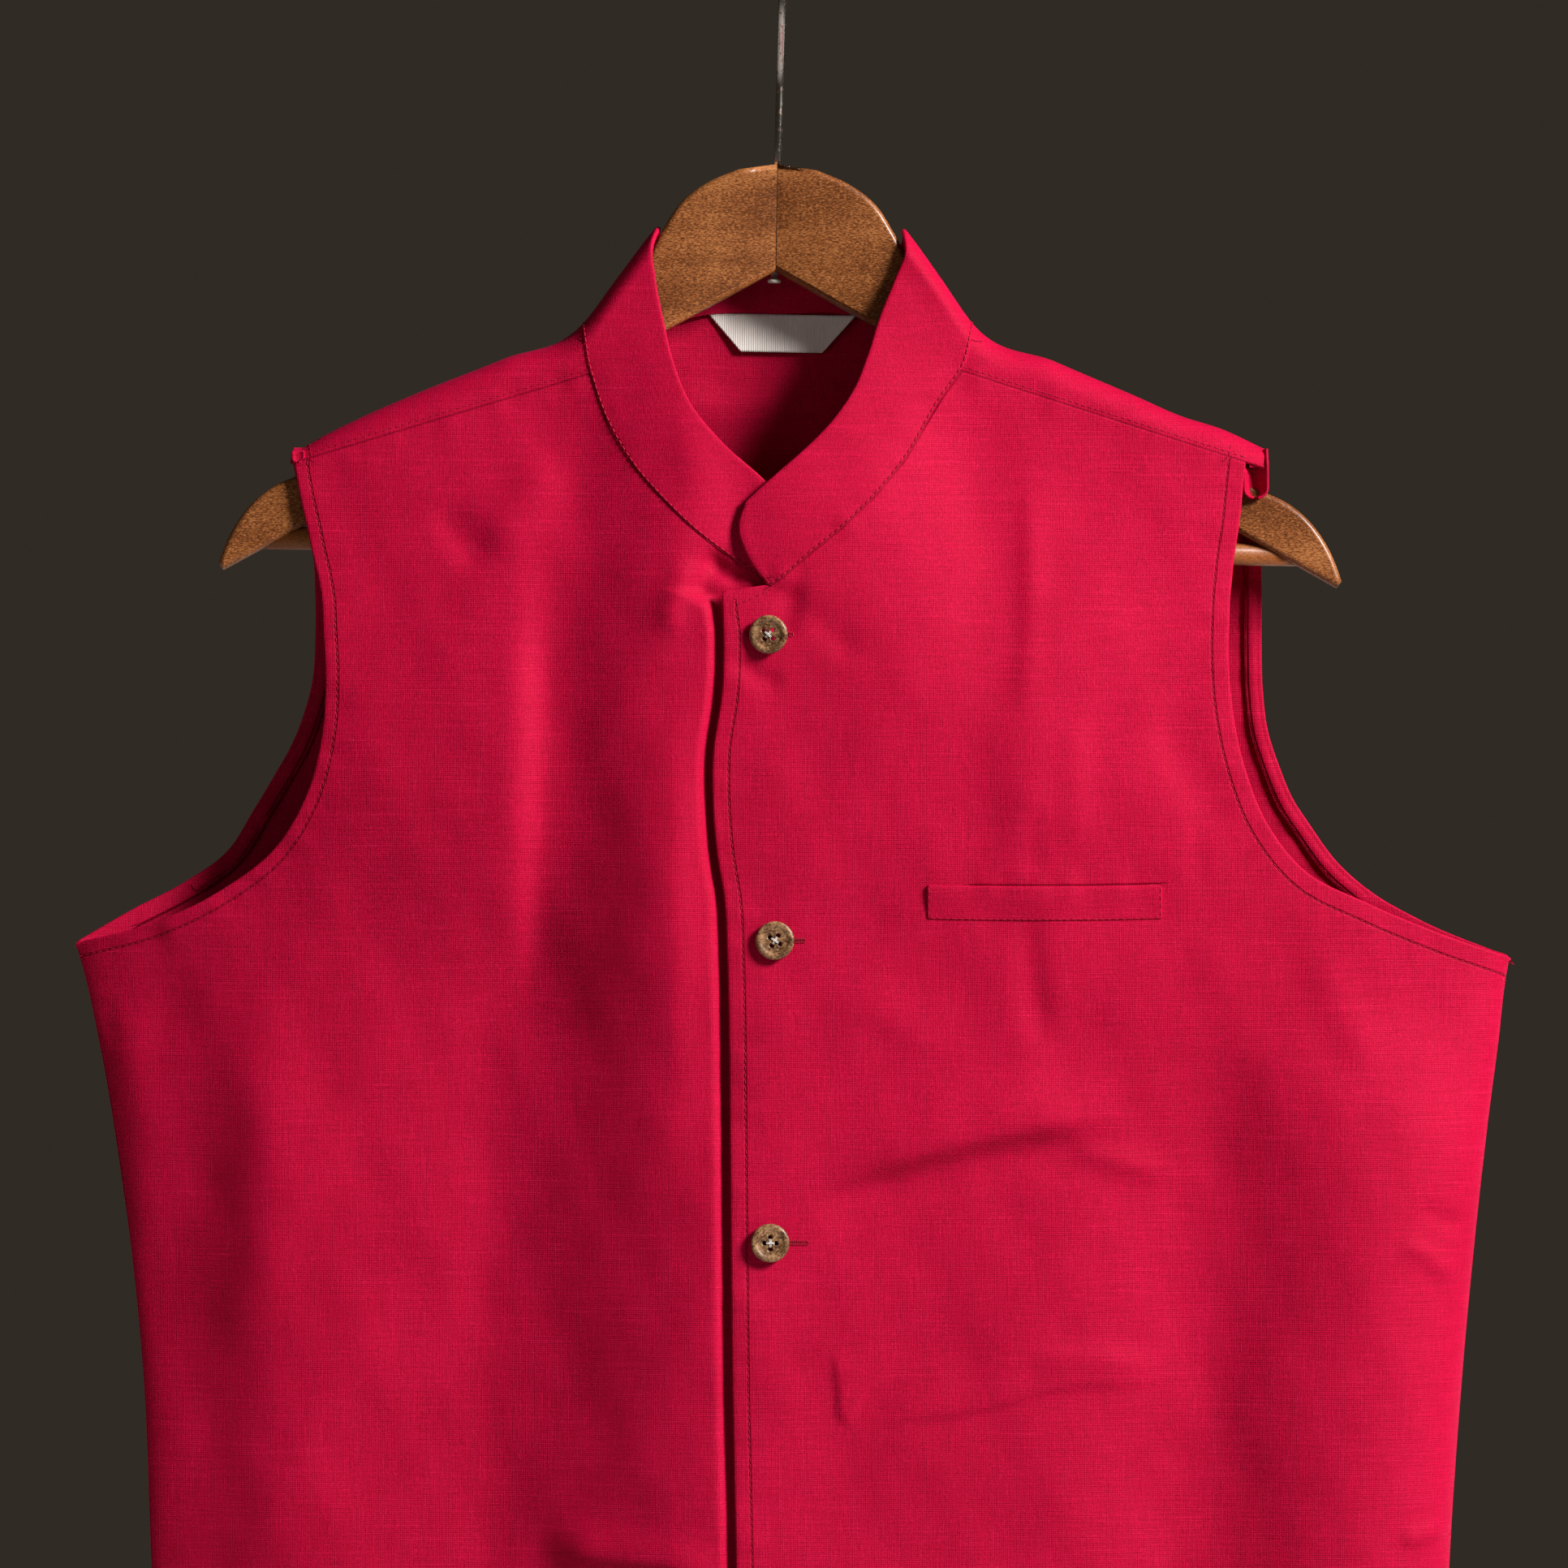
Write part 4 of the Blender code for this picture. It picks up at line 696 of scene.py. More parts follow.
def base_depth(face, x, z):
    """Gives how far the cloth's smooth form with its large folds lies from the hanger's plane."""
    full, flare = (FRONT_DEPTH, FRONT_FLARE) if face < 0 else (BACK_DEPTH, BACK_FLARE)
    below = np.maximum(along(RIDGE, x) - z, 0.0)
    roll = RIDGE_RADIUS * np.sqrt(1.0 - (1.0 - np.minimum(below / RIDGE_RADIUS, 1.0)) ** 2)
    open_depth = roll + (full - RIDGE_RADIUS) * smooth_step(below / flare)
    share = side_share(x, z)
    shaped = np.minimum(open_depth, SIDE_FOLD) + np.maximum(open_depth - SIDE_FOLD, 0.0) * share
    return shaped + fold_height(face, x, z) * share ** FOLD_HOLD * smooth_step(share / FOLD_EASE)


def surface_slopes(face, x, z):
    """Gives the slopes of the smooth surface along x and along z."""
    reach = SLOPE_REACH
    slope_x = (base_depth(face, x + reach, z) - base_depth(face, x - reach, z)) / (2.0 * reach)
    slope_z = (base_depth(face, x, z + reach) - base_depth(face, x, z - reach)) / (2.0 * reach)
    return slope_x, slope_z


def depth(face, x, z):
    """Gives the depth of the fine cloth, with its creases, lumps and puckers."""
    x = np.asarray(x, dtype=float)
    z = np.asarray(z, dtype=float)
    below = np.maximum(along(RIDGE, x) - z, 0.0)
    calm = smooth_step(below / (CALM_RADII * RIDGE_RADIUS))
    fine = crease_height(face, x, z)
    for number, (size, height) in enumerate(LUMPS):
        fine = fine + height * lumps(x, z, size, number + LUMP_SEED + face)
    for line in SEWN_LINES[face]:
        reach, _, run, _ = line_reach(line, x, z)
        wave = lumps(run, run * PUCKER_SLANT, PUCKER_PITCH, PUCKER_SEED)
        fine = fine + PUCKER_HEIGHT * wave * np.exp(-((reach / PUCKER_REACH) ** 2))
    edge = np.minimum(1.0, side_share(x, z) * SIDE_CALM)
    return base_depth(face, x, z) + fine * calm * edge


def underlap_drop(x, z):
    """Lets the front that lies below sink behind the edge of the other one."""
    at_neck = smooth_step((z - UNDERLAP_NECK_Z) / UNDERLAP_NECK_FADE)
    run = UNDERLAP_RUN + (UNDERLAP_NECK_RUN - UNDERLAP_RUN) * at_neck
    drop = UNDERLAP_DROP + (UNDERLAP_NECK_DROP - UNDERLAP_DROP) * at_neck
    start = along(PLACKET_EDGE, z) - run
    return drop * smooth_step((x - start) / run)


def on_front(x, z, outwards=0.0, below=False):
    """Stacks points of the front surface, of the lower front where below is set."""
    drop = underlap_drop(x, z) if below else 0.0
    return np.stack([x, -(depth(-1, x, z) - drop + outwards), z], axis=-1)


def on_back(x, z, outwards=0.0):
    """Stacks points of the back surface."""
    return np.stack([x, depth(1, x, z) + outwards, z], axis=-1)


def across_line(line):
    """Gives the way square to a line in the x, z plane at each of its points."""
    heading = unit(np.gradient(line, axis=0))
    return np.stack([-heading[:, 1], heading[:, 0]], axis=1)


def inset(line, reach, towards):
    """Moves a line in the x, z plane sideways by reach, to the side where the point towards lies."""
    across = across_line(line)
    middle = len(line) // 2
    if np.dot(across[middle], np.array(towards) - line[middle]) < 0.0:
        across = -across
    return line + across * reach


def front_table(rows, side_table, underarm_z, inner_x):
    """Adds the section at the underarm to a front's table."""
    edge = float(along(PLACKET_EDGE, underarm_z)) if inner_x is None else inner_x
    return np.array([(edge, underarm_z, float(along(side_table, underarm_z)), underarm_z)] + list(rows))


RIGHT_TABLE = front_table(RIGHT_FRONT_ROWS, LEFT_SIDE, LEFT_UNDERARM_Z, UNDERLAP_X)
LEFT_TABLE = front_table(LEFT_FRONT_ROWS, RIGHT_SIDE, RIGHT_UNDERARM_Z, None)


def placket_line(low_z, high_z):
    """Gives the edge of the upper front between two heights, as x, z."""
    z = np.arange(low_z, high_z, PLACKET_POINT_STEP)
    return np.stack([along(PLACKET_EDGE, z), z], axis=-1)


def sewn_lines():
    """Gives the sewn lines of the front and of the back, and the pocket mouth's line of painted shade, as x,
    z.
    """
    shares = np.linspace(0, 1, SEWN_POINTS)
    right_armhole = inset(curve_at(RIGHT_TABLE[:, 2:], shares), LEFT_ARMHOLE_STITCH_IN, RIGHT_FRONT_MIDDLE)
    left_armhole = inset(curve_at(LEFT_TABLE[:, 2:], shares), RIGHT_ARMHOLE_STITCH_IN, LEFT_FRONT_MIDDLE)
    placket = placket_line(HEM_Z, PLACKET_STITCH_TOP) + np.array((PLACKET_STITCH_IN, 0.0))
    neck_right = np.array(LEFT_FRONT_ROWS)[FRONT_NECK_FROM:, :2]
    neck_left = np.array(RIGHT_FRONT_ROWS)[FRONT_NECK_FROM:, :2]
    shoulders = [np.array([seam[:2], seam[2:]]) for seam in (LEFT_SHOULDER_SEAM, RIGHT_SHOULDER_SEAM)]
    # Not a seam: along the pocket mouth the groove and its painted shade stand for the mouth's shadow
    mouth_z = WELT_Z + WELT_HEIGHT / 2.0 + MOUTH_UP
    mouth = np.array([
        (WELT_X + share * WELT_LENGTH, mouth_z - WELT_BOW * (1.0 - 4.0 * share * share))
        for share in np.linspace(*MOUTH_SPAN, MOUTH_POINTS)
    ])
    rows = np.array(BACK_ROWS)[BACK_ARMHOLE_ROW:]
    back_left = inset(curve_at(rows[:, 0:2], shares), FACING_WIDTH, BACK_MIDDLE)
    back_right = inset(curve_at(rows[:, 2:4], shares), FACING_WIDTH, BACK_MIDDLE)
    return {
        -1: [right_armhole, left_armhole, placket, neck_right, neck_left] + shoulders + [mouth],
        1: [back_left, back_right, np.array(NECK_SEAM)],
    }


SEWN_LINES = sewn_lines()


def piece(made, slot, *nodes):
    """Lets a piece ride on the part and hides the solids it stands for; its slot is not used."""
    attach(made, "root")
    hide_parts(*nodes)
    return made


def new_object(name, data, finish=None):
    """Puts mesh or curve data into the scene with its material."""
    made = bpy.data.objects.new(name, data)
    bpy.context.scene.collection.objects.link(made)
    if finish:
        data.materials.append(finish)
    return made


def smooth_object(name, verts, faces, finish):
    """Puts a smooth mesh of points and faces into the scene."""
    mesh = bpy.data.meshes.new(name)
    mesh.from_pydata(verts, [], faces)
    mesh.shade_smooth()
    return new_object(name, mesh, finish)


def ring_faces(base, sides):
    """Gives the faces between a ring of points numbered from base and the next ring."""
    faces = []
    for side in range(sides):
        after = (side + 1) % sides
        faces.append((base + side, base + after, base + sides + after, base + sides + side))
    return faces


def grid_faces(points, first, towards):
    """Gives a grid's faces, turned towards a way, numbered from first, without cells that miss a corner."""
    rows, columns = points.shape[:2]
    numbers = first + np.arange(rows * columns).reshape(rows, columns)
    there = ~np.isnan(points[..., 0])
    whole = there[:-1, :-1] & there[:-1, 1:] & there[1:, 1:] & there[1:, :-1]
    corners = np.stack([numbers[:-1, :-1], numbers[:-1, 1:], numbers[1:, 1:], numbers[1:, :-1]], axis=-1)
    across = points[:-1, 1:] - points[:-1, :-1]
    up = points[1:, :-1] - points[:-1, :-1]
    normal = np.cross(across, up)
    facing = np.nansum(np.where(whole, np.sum(normal * towards, axis=-1), 0.0))
    picked = corners[whole]
    return picked if facing > 0.0 else picked[:, ::-1]


def shell(name, grids, finish, sewn=()):
    """Joins grids, each of points and the way it faces; keeps how far each point is from the sewn lines."""
    verts, faces, first = [], [], 0
    for points, towards in grids:
        faces.append(grid_faces(points, first, np.array(towards)))
        verts.append(points.reshape(-1, 3))
        first += verts[-1].shape[0]
    verts = np.concatenate(verts)
    faces = np.concatenate(faces)
    used = np.unique(faces)
    renumber = np.zeros(len(verts), dtype=int)
    renumber[used] = np.arange(len(used))
    mesh = bpy.data.meshes.new(name)
    mesh.from_pydata(verts[used].tolist(), [], renumber[faces].tolist())
    joined = bmesh.new()
    joined.from_mesh(mesh)
    bmesh.ops.remove_doubles(joined, verts=joined.verts, dist=WELD)
    joined.to_mesh(mesh)
    joined.free()
    mesh.shade_smooth()
    spots = np.zeros(len(mesh.vertices) * 3)
    mesh.vertices.foreach_get("co", spots)
    spots = spots.reshape(-1, 3)
    nearest = np.full(len(spots), FAR)
    signed = np.full(len(spots), FAR)
    for line in sewn:
        reach, side, _, _ = line_reach(line, spots[:, 0], spots[:, 2])
        signed = np.where(reach < nearest, side * reach, signed)
        nearest = np.minimum(nearest, reach)
    for title, values in (("sewn", signed), ("sewn_reach", nearest)):
        kept = mesh.attributes.new(title, "FLOAT", "POINT")
        kept.data.foreach_set("value", values)
    return new_object(name, mesh, finish)


def roll_edge(line, inner, outwards, radius, turn, tuck):
    """Carries a sheet past its edge line: round a roll of a radius and a turn, then straight on by tuck."""
    tangent = unit(np.gradient(line, axis=0))
    away = line - inner
    away = unit(away - tangent * np.sum(away * tangent, axis=1)[:, None])
    normal = np.cross(tangent, away)
    normal = normal * np.sign(np.sum(normal * outwards, axis=1))[:, None]
    columns = []
    for step in range(ROLL_STEPS + 1):
        angle = turn * step / ROLL_STEPS
        columns.append(line + radius * (away * math.sin(angle) - normal * (1.0 - math.cos(angle))))
    onwards = away * math.cos(turn) - normal * math.sin(turn)
    for step in range(1, TUCK_STEPS + 1):
        columns.append(columns[ROLL_STEPS] + onwards * tuck * step / TUCK_STEPS)
    facing = np.zeros((len(line) - 1, len(columns) - 1, 3))
    facing[:, 0] = normal[:-1]
    return np.stack(columns, axis=1), facing


def hem_like(line, inner, outwards, tuck=EDGE_TUCK):
    """Turns an edge under, as a hem or a faced edge is."""
    return roll_edge(line, inner, outwards, EDGE_RADIUS, math.pi, tuck)


def seam_like(line, inner, outwards, radius=SEAM_RADIUS):
    """Lets an edge dip into a seam."""
    return roll_edge(line, inner, outwards, radius, math.pi / 2.0, SEAM_TUCK)


def between_rows(sides, step):
    """Reads two edges in fine steps from one row to the next; each has points, their run and the row."""
    spans = [run[row + 1] - run[row] for _, run, row in sides]
    steps = max(1, math.ceil(max(spans) / step))
    shares = np.arange(steps) / steps
    columns = []
    for (points, run, row), span in zip(sides, spans):
        at = run[row] + span * shares
        columns.extend(along(list(zip(run, column)), at) for column in points.T)
    return columns, shares


def front_sections(table, side_table, underarm_z, inner_x):
    """Makes a front's fine sections from hem to shoulder, and the numbers where underarm and neck start."""
    body_z = np.arange(HEM_Z + EDGE_RADIUS, underarm_z, FRONT_STEP)
    inner = along(PLACKET_EDGE, body_z) if inner_x is None else np.full_like(body_z, inner_x)
    sections = list(np.stack([inner, body_z, along(side_table, body_z), body_z], axis=1))
    marks = {"underarm": len(sections)}
    outer_run = run_lengths(table[:, 2:])
    breaks = (0, FRONT_CORNER + 1, FRONT_NECK_FROM + 1, len(table) - 1)
    for first, last in zip(breaks[:-1], breaks[1:]):
        part = table[first:last + 1, :2]
        inner_run = run_lengths(part)
        if first == breaks[2]:
            marks["neck"] = len(sections)
        for row in range(first, last):
            sides = ((part, inner_run, row - first), (table[:, 2:], outer_run, row))
            sections.extend(np.stack(between_rows(sides, FRONT_STEP)[0], axis=1))
    sections.append(table[-1])
    return np.array(sections), marks


def front_shell(name, table, side_table, underarm_z, inner_x, below, finish):
    """Makes one front: its face, the turned placket, armhole and hem, and the edges that dip into seams."""
    sections, marks = front_sections(table, side_table, underarm_z, inner_x)
    rows = len(sections)
    number = np.arange(rows)
    in_radius = np.where(number < marks["neck"], EDGE_RADIUS, SEAM_RADIUS)
    out_radius = np.where(number < marks["underarm"], SIDE_RADIUS, EDGE_RADIUS)
    width = np.hypot(sections[:, 2] - sections[:, 0], sections[:, 3] - sections[:, 1])
    start = (in_radius / width)[:, None]
    end = (1.0 - out_radius / width)[:, None]
    columns = math.ceil(width.max() / FRONT_STEP)
    share = start + (end - start) * np.linspace(0.0, 1.0, columns)[None, :]
    x = sections[:, 0:1] + (sections[:, 2:3] - sections[:, 0:1]) * share
    z = sections[:, 1:2] + (sections[:, 3:4] - sections[:, 1:2]) * share
    face = on_front(x, z, below=below)
    out = np.array(FRONT_OUT)
    under, neck = marks["underarm"], marks["neck"]
    grids = [
        (face, (0.0, -1.0, 0.0)),
        hem_like(face[:neck + 1, 0], face[:neck + 1, 1], out),
        seam_like(face[neck:, 0], face[neck:, 1], out),
        seam_like(face[:under + 1, -1], face[:under + 1, -2], out, SIDE_RADIUS),
        hem_like(face[under:, -1], face[under:, -2], out),
        hem_like(face[0], face[1], out, HEM_TUCK),
        seam_like(face[-1], face[-2], out),
    ]
    right_armhole, left_armhole, placket, neck_right, neck_left = SEWN_LINES[-1][:5]
    shoulder_left, shoulder_right, mouth = SEWN_LINES[-1][5:]
    # Grooves and their painted shade follow these lines; the mouth line stands for the pocket mouth's shadow
    if below:
        sewn = [right_armhole, neck_left, shoulder_left]
    else:
        sewn = [left_armhole, placket, neck_right, shoulder_right, mouth]
    return shell(name, grids, finish, sewn), face


def back_sections():
    """Makes the back's fine sections above the underarm: left x, z, right x, z and share of the slope."""
    table = np.array(BACK_ROWS)
    left_x = along(LEFT_SIDE, LEFT_UNDERARM_Z)
    right_x = along(RIGHT_SIDE, RIGHT_UNDERARM_Z)
    tip = np.array((left_x, LEFT_UNDERARM_Z, right_x, RIGHT_UNDERARM_Z, 0.0), dtype=float)
    table = np.vstack([table, tip])
    left_run = run_lengths(table[:, 0:2])
    right_run = run_lengths(table[:, 2:4])
    sections = []
    turn = 0
    for row in range(len(table) - 1):
        sides = ((table[:, 0:2], left_run, row), (table[:, 2:4], right_run, row))
        columns, shares = between_rows(sides, BACK_STEP)
        slope = table[row, 4] + (table[row + 1, 4] - table[row, 4]) * shares
        if row == NECK_ROW:
            turn = len(sections)
        sections.extend(np.stack(columns + [slope], axis=1))
    return np.array(sections), turn


def flap_lines(top_x, first, last):
    """Makes the back's flaps from the forward seams up to the ridge; the neck lies from first to last."""
    groups = (
        (np.arange(0, first + 1), -1, 0, LEFT_SHOULDER_SEAM),
        (np.arange(last, len(top_x)), 0, -1, RIGHT_SHOULDER_SEAM),
    )
    flaps = []
    for share in np.linspace(1.0, 0.0, math.ceil(FLAP_DEPTH / FRONT_STEP), endpoint=False):
        line = np.full((len(top_x), 3), np.nan)
        for group, neck_end, arm_end, (neck_x, neck_z, arm_x, arm_z) in groups:
            start_x = top_x[group]
            way = (start_x - start_x[neck_end]) / (start_x[arm_end] - start_x[neck_end])
            end_x = neck_x + (start_x[arm_end] - neck_x) * way
            end_z = neck_z + (arm_z - neck_z) * (end_x - neck_x) / (arm_x - neck_x) + SEAM_RADIUS
            start_z = along(RIDGE, start_x)
            line[group] = on_front(start_x + (end_x - start_x) * share, start_z + (end_z - start_z) * share)
        flaps.append(line)
    return flaps


def back_shell(finish):
    """Makes the back with its flaps over the shoulders."""
    sections, turn = back_sections()
    count = math.ceil(BACK_WIDTH / BACK_STEP)
    shares = np.linspace(0.0, 1.0, count)
    first, last = (int(np.argmin(abs(shares - share))) for share in NECK_SHARES)
    shares[first], shares[last] = NECK_SHARES
    top = BACK_ROWS[0]
    top_x = top[0] + (top[2] - top[0]) * shares
    top_z = along(RIDGE, top_x)
    inside = np.arange(first + 1, last)
    top_z[inside] = along(NECK_SEAM, top_x[inside])
    level = top[1] + (top[3] - top[1]) * shares
    neck_row = BACK_ROWS[NECK_ROW]
    level[inside] = (neck_row[1] + (neck_row[3] - neck_row[1]) * shares)[inside]
    roof = top_z - level
    lines = []
    for number, (left_x, left_z, right_x, right_z, slope) in enumerate(sections):
        z = left_z + (right_z - left_z) * shares + roof * slope
        line = on_back(left_x + (right_x - left_x) * shares, z)
        if number < turn:
            line[inside] = np.nan
        lines.append(line)
    steps = math.ceil((LEFT_UNDERARM_Z - HEM_Z) / BACK_STEP)
    under = len(lines)
    for share in np.linspace(0.0, 1.0, steps + 1):
        left_z = LEFT_UNDERARM_Z + (HEM_Z + EDGE_RADIUS - LEFT_UNDERARM_Z) * share
        right_z = RIGHT_UNDERARM_Z + (HEM_Z + EDGE_RADIUS - RIGHT_UNDERARM_Z) * share
        left_x = float(along(LEFT_SIDE, left_z)) + SIDE_RADIUS
        right_x = float(along(RIGHT_SIDE, right_z)) - SIDE_RADIUS
        lines.append(on_back(left_x + (right_x - left_x) * shares, left_z + (right_z - left_z) * shares))
    flaps = flap_lines(top_x, first, last)
    face = np.array(flaps + lines)
    ahead = len(flaps)
    under += ahead
    turn += ahead
    out = np.array(BACK_OUT)
    over = np.array(FLAP_OUT)
    grids = [
        (face, (0.0, 1.0, 0.0)),
        seam_like(face[0, :first + 1], face[1, :first + 1], over),
        seam_like(face[0, last:], face[1, last:], over),
        seam_like(face[turn, first:last + 1], face[turn + 1, first:last + 1], out),
        hem_like(face[-1], face[-2], out, HEM_TUCK),
        seam_like(face[under:, 0], face[under:, 1], out, SIDE_RADIUS),
        seam_like(face[under:, -1], face[under:, -2], out, SIDE_RADIUS),
        hem_like(face[ahead:under + 1, 0], face[ahead:under + 1, 1], out),
        hem_like(face[ahead:under + 1, -1], face[ahead:under + 1, -2], out),
        hem_like(face[:ahead + 1, 0], face[:ahead + 1, 1], over),
        hem_like(face[:ahead + 1, -1], face[:ahead + 1, -2], over),
    ]
    return shell("back_cloth", grids, finish, SEWN_LINES[1]), face


def ridge_point(share):
    """Gives the point of the back's first section at a share of its width, on the ridge."""
    left_x, _, right_x, _, _ = BACK_ROWS[0]
    x = left_x + (right_x - left_x) * share
    return x, float(along(RIDGE, x))


def neck_corner(share):
    """Gives the point at the side of the neck where the back's neckline turns across."""
    left_x, left_z, right_x, right_z, _ = BACK_ROWS[NECK_ROW]
    _, top_left_z, _, top_right_z, _ = BACK_ROWS[0]
    x = left_x + (right_x - left_x) * share
    level = top_left_z + (top_right_z - top_left_z) * share
    roof = ridge_point(share)[1] - level
    return x, left_z + (right_z - left_z) * share + roof


def collar_parts():
    """Gives the collar's three stretches: seam, top edge, face of the jacket, and whether it lies below."""
    left_share, right_share = NECK_SHARES
    right_seam = np.vstack([np.array(LEFT_FRONT_ROWS)[FRONT_NECK_FROM:, :2], ridge_point(right_share)])
    left_seam = np.vstack([np.array(RIGHT_FRONT_ROWS)[FRONT_NECK_FROM:, :2], ridge_point(left_share)])
    across = even_curve(NECK_SEAM, COLLAR_STEP)
    left_corner, right_corner = neck_corner(left_share), neck_corner(right_share)
    low_x, high_x = left_corner[0] + NECK_CORNER_GAP, right_corner[0] - NECK_CORNER_GAP
    inside = (across[:, 0] > low_x) & (across[:, 0] < high_x)
    behind = np.vstack([
        ridge_point(right_share), right_corner, across[inside][::-1], left_corner, ridge_point(left_share),
    ])
    return (
        (right_seam, COLLAR_TOP_RIGHT, -1, False),
        (behind, COLLAR_TOP_BACK, 1, False),
        (left_seam, COLLAR_TOP_LEFT, -1, True),
    )


def collar_surface(out):
    """Makes the collar's outside, out from the jacket's surface by out."""
    stations = []
    for seam, top_table, face, below in collar_parts():
        length = run_lengths(seam)[-1]
        shares = np.linspace(0.0, 1.0, math.ceil(length / COLLAR_STEP) + 1)
        start = curve_at(seam, shares)
        top = curve_at(top_table, shares)
        way = top - start
        start = start + COLLAR_SEAM_GAP * way / np.linalg.norm(way, axis=1)[:, None]
        start_below = along(RIDGE, start[:, 0]) - start[:, 1]
        top_below = along(RIDGE, top[:, 0]) - top[:, 1]
        rise = np.linspace(0.0, 1.0, COLLAR_STRIPS + 1)
        x = start[:, 0:1] + (top[:, 0:1] - start[:, 0:1]) * rise
        z = along(RIDGE, x) - start_below[:, None] - (top_below - start_below)[:, None] * rise
        if not stations:
            end = curve_at(COLLAR_END, rise)
            fade = np.clip(1.0 - np.arange(len(x)) / COLLAR_END_STATIONS, 0.0, 1.0)[:, None] ** 2
            shift_x = end[:, 0] - x[0]
            shift_z = end[:, 1] - z[0]
            x = x + fade * shift_x
            z = z + fade * shift_z
        block = on_front(x, z, out, below) if face < 0 else on_back(x, z, out)
        if below:
            block = block[::-1]
        stations.append(block[1:] if stations else block)
    return np.concatenate(stations)


def collar_shell(finish):
    """Makes the band collar: outside, rounded top edge and ends, and inside."""
    outside = collar_surface(COLLAR_RISE)
    normal = unit(np.cross(np.gradient(outside, axis=0), np.gradient(outside, axis=1)))
    front = outside[:, :, 1] < 0.0
    facing = np.where(front, -normal[..., 1], normal[..., 1]) + COLLAR_UP * normal[..., 2]
    normal = normal * np.sign(np.mean(facing))
    half = COLLAR_THICKNESS / 2.0
    middle = outside - normal * half
    up = unit(middle[:, -1] - middle[:, -2])
    rim = []
    for step in range(1, ROLL_STEPS):
        angle = math.pi * step / ROLL_STEPS
        rim.append(middle[:, -1] + half * (normal[:, -1] * math.cos(angle) + up * math.sin(angle)))
    inside = middle - normal * half
    band = np.concatenate([outside, np.stack(rim, axis=1), inside[:, ::-1]], axis=1)
    ends = []
    for row, step in ((0, 1), (-1, -2)):
        away = unit(middle[row] - middle[step])
        cap = []
        for turn in range(ROLL_STEPS + 1):
            angle = math.pi * turn / ROLL_STEPS
            cap.append(middle[row] + half * (normal[row] * math.cos(angle) + away * math.sin(angle)))
        first_facing = np.zeros((ROLL_STEPS, len(cap[0]) - 1, 3))
        first_facing[0] = normal[row][:-1]
        ends.append((np.stack(cap, axis=0), first_facing))
    facing_band = np.zeros((band.shape[0] - 1, band.shape[1] - 1, 3))
    facing_band[:, :outside.shape[1] - 1] = normal[:-1, :-1]
    into_seam = seam_like(outside[:, 0], outside[:, 1], normal[:, 0], COLLAR_SEAM_RADIUS)
    # The neck seams also give the collar the painted shade of the seam groove along its low edge
    right, left = SEWN_LINES[-1][3:5]
    seams = [right, left[left[:, 0] < COLLAR_END[0][0]]]
    made = shell("collar_cloth", [(band, facing_band), into_seam] + ends, finish, seams)
    return made, outside


def facing_shell(name, x_column, z_column, inwards, finish):
    """Makes a strip that finishes one armhole of the back inside."""
    rows = np.array(BACK_ROWS[FACING_ROWS[0]:FACING_ROWS[1]])
    edge = even_curve(rows[:, [x_column, z_column]], BACK_STEP)
    across = inwards * across_line(edge)
    columns = []
    for share in np.linspace(0.0, 1.0, FACING_COLUMNS):
        spot = edge + across * (EDGE_RADIUS + (FACING_WIDTH - EDGE_RADIUS) * share)
        bulge = FACING_RISE + FACING_PUFF * math.sin(math.pi * share)
        columns.append(on_back(spot[:, 0], spot[:, 1], -bulge))
    face = np.stack(columns, axis=1)
    edge_strip = hem_like(face[:, -1], face[:, -2], np.array(FACING_OUT), FACING_TUCK)
    made = shell(name, [(face, (0.0, -1.0, 0.0)), edge_strip], finish, [edge + across * FACING_STITCH_IN])
    return made, face


def welt_shell(finish):
    """Makes the chest pocket's welt: a folded band, a little bowed, sewn down at its sides and low edge."""
    across = np.linspace(-0.5, 0.5, math.ceil(WELT_LENGTH / FRONT_STEP))
    up = np.linspace(-0.5, 0.5, WELT_ROWS)
    x = WELT_X + WELT_LENGTH * across[None, :] + 0.0 * up[:, None]
    z = WELT_Z + WELT_HEIGHT * up[:, None] - WELT_BOW * (1.0 - (2.0 * across[None, :]) ** 2)
    puff = WELT_RISE * (1.0 - WELT_PUFF + WELT_PUFF * np.cos(math.pi * up[:, None]))
    puff = puff + WELT_GAPE * smooth_step(up[:, None] + 0.5)
    face = on_front(x, z, puff)
    out = np.array((0.0, -1.0, 0.0))
    grids = [
        (face, out),
        hem_like(face[-1], face[-2], out, WELT_TUCK),
        seam_like(face[0], face[1], out),
        seam_like(face[:, 0], face[:, 1], out),
        seam_like(face[:, -1], face[:, -2], out),
    ]
    return shell("chest_welt_cloth", grids, finish), face


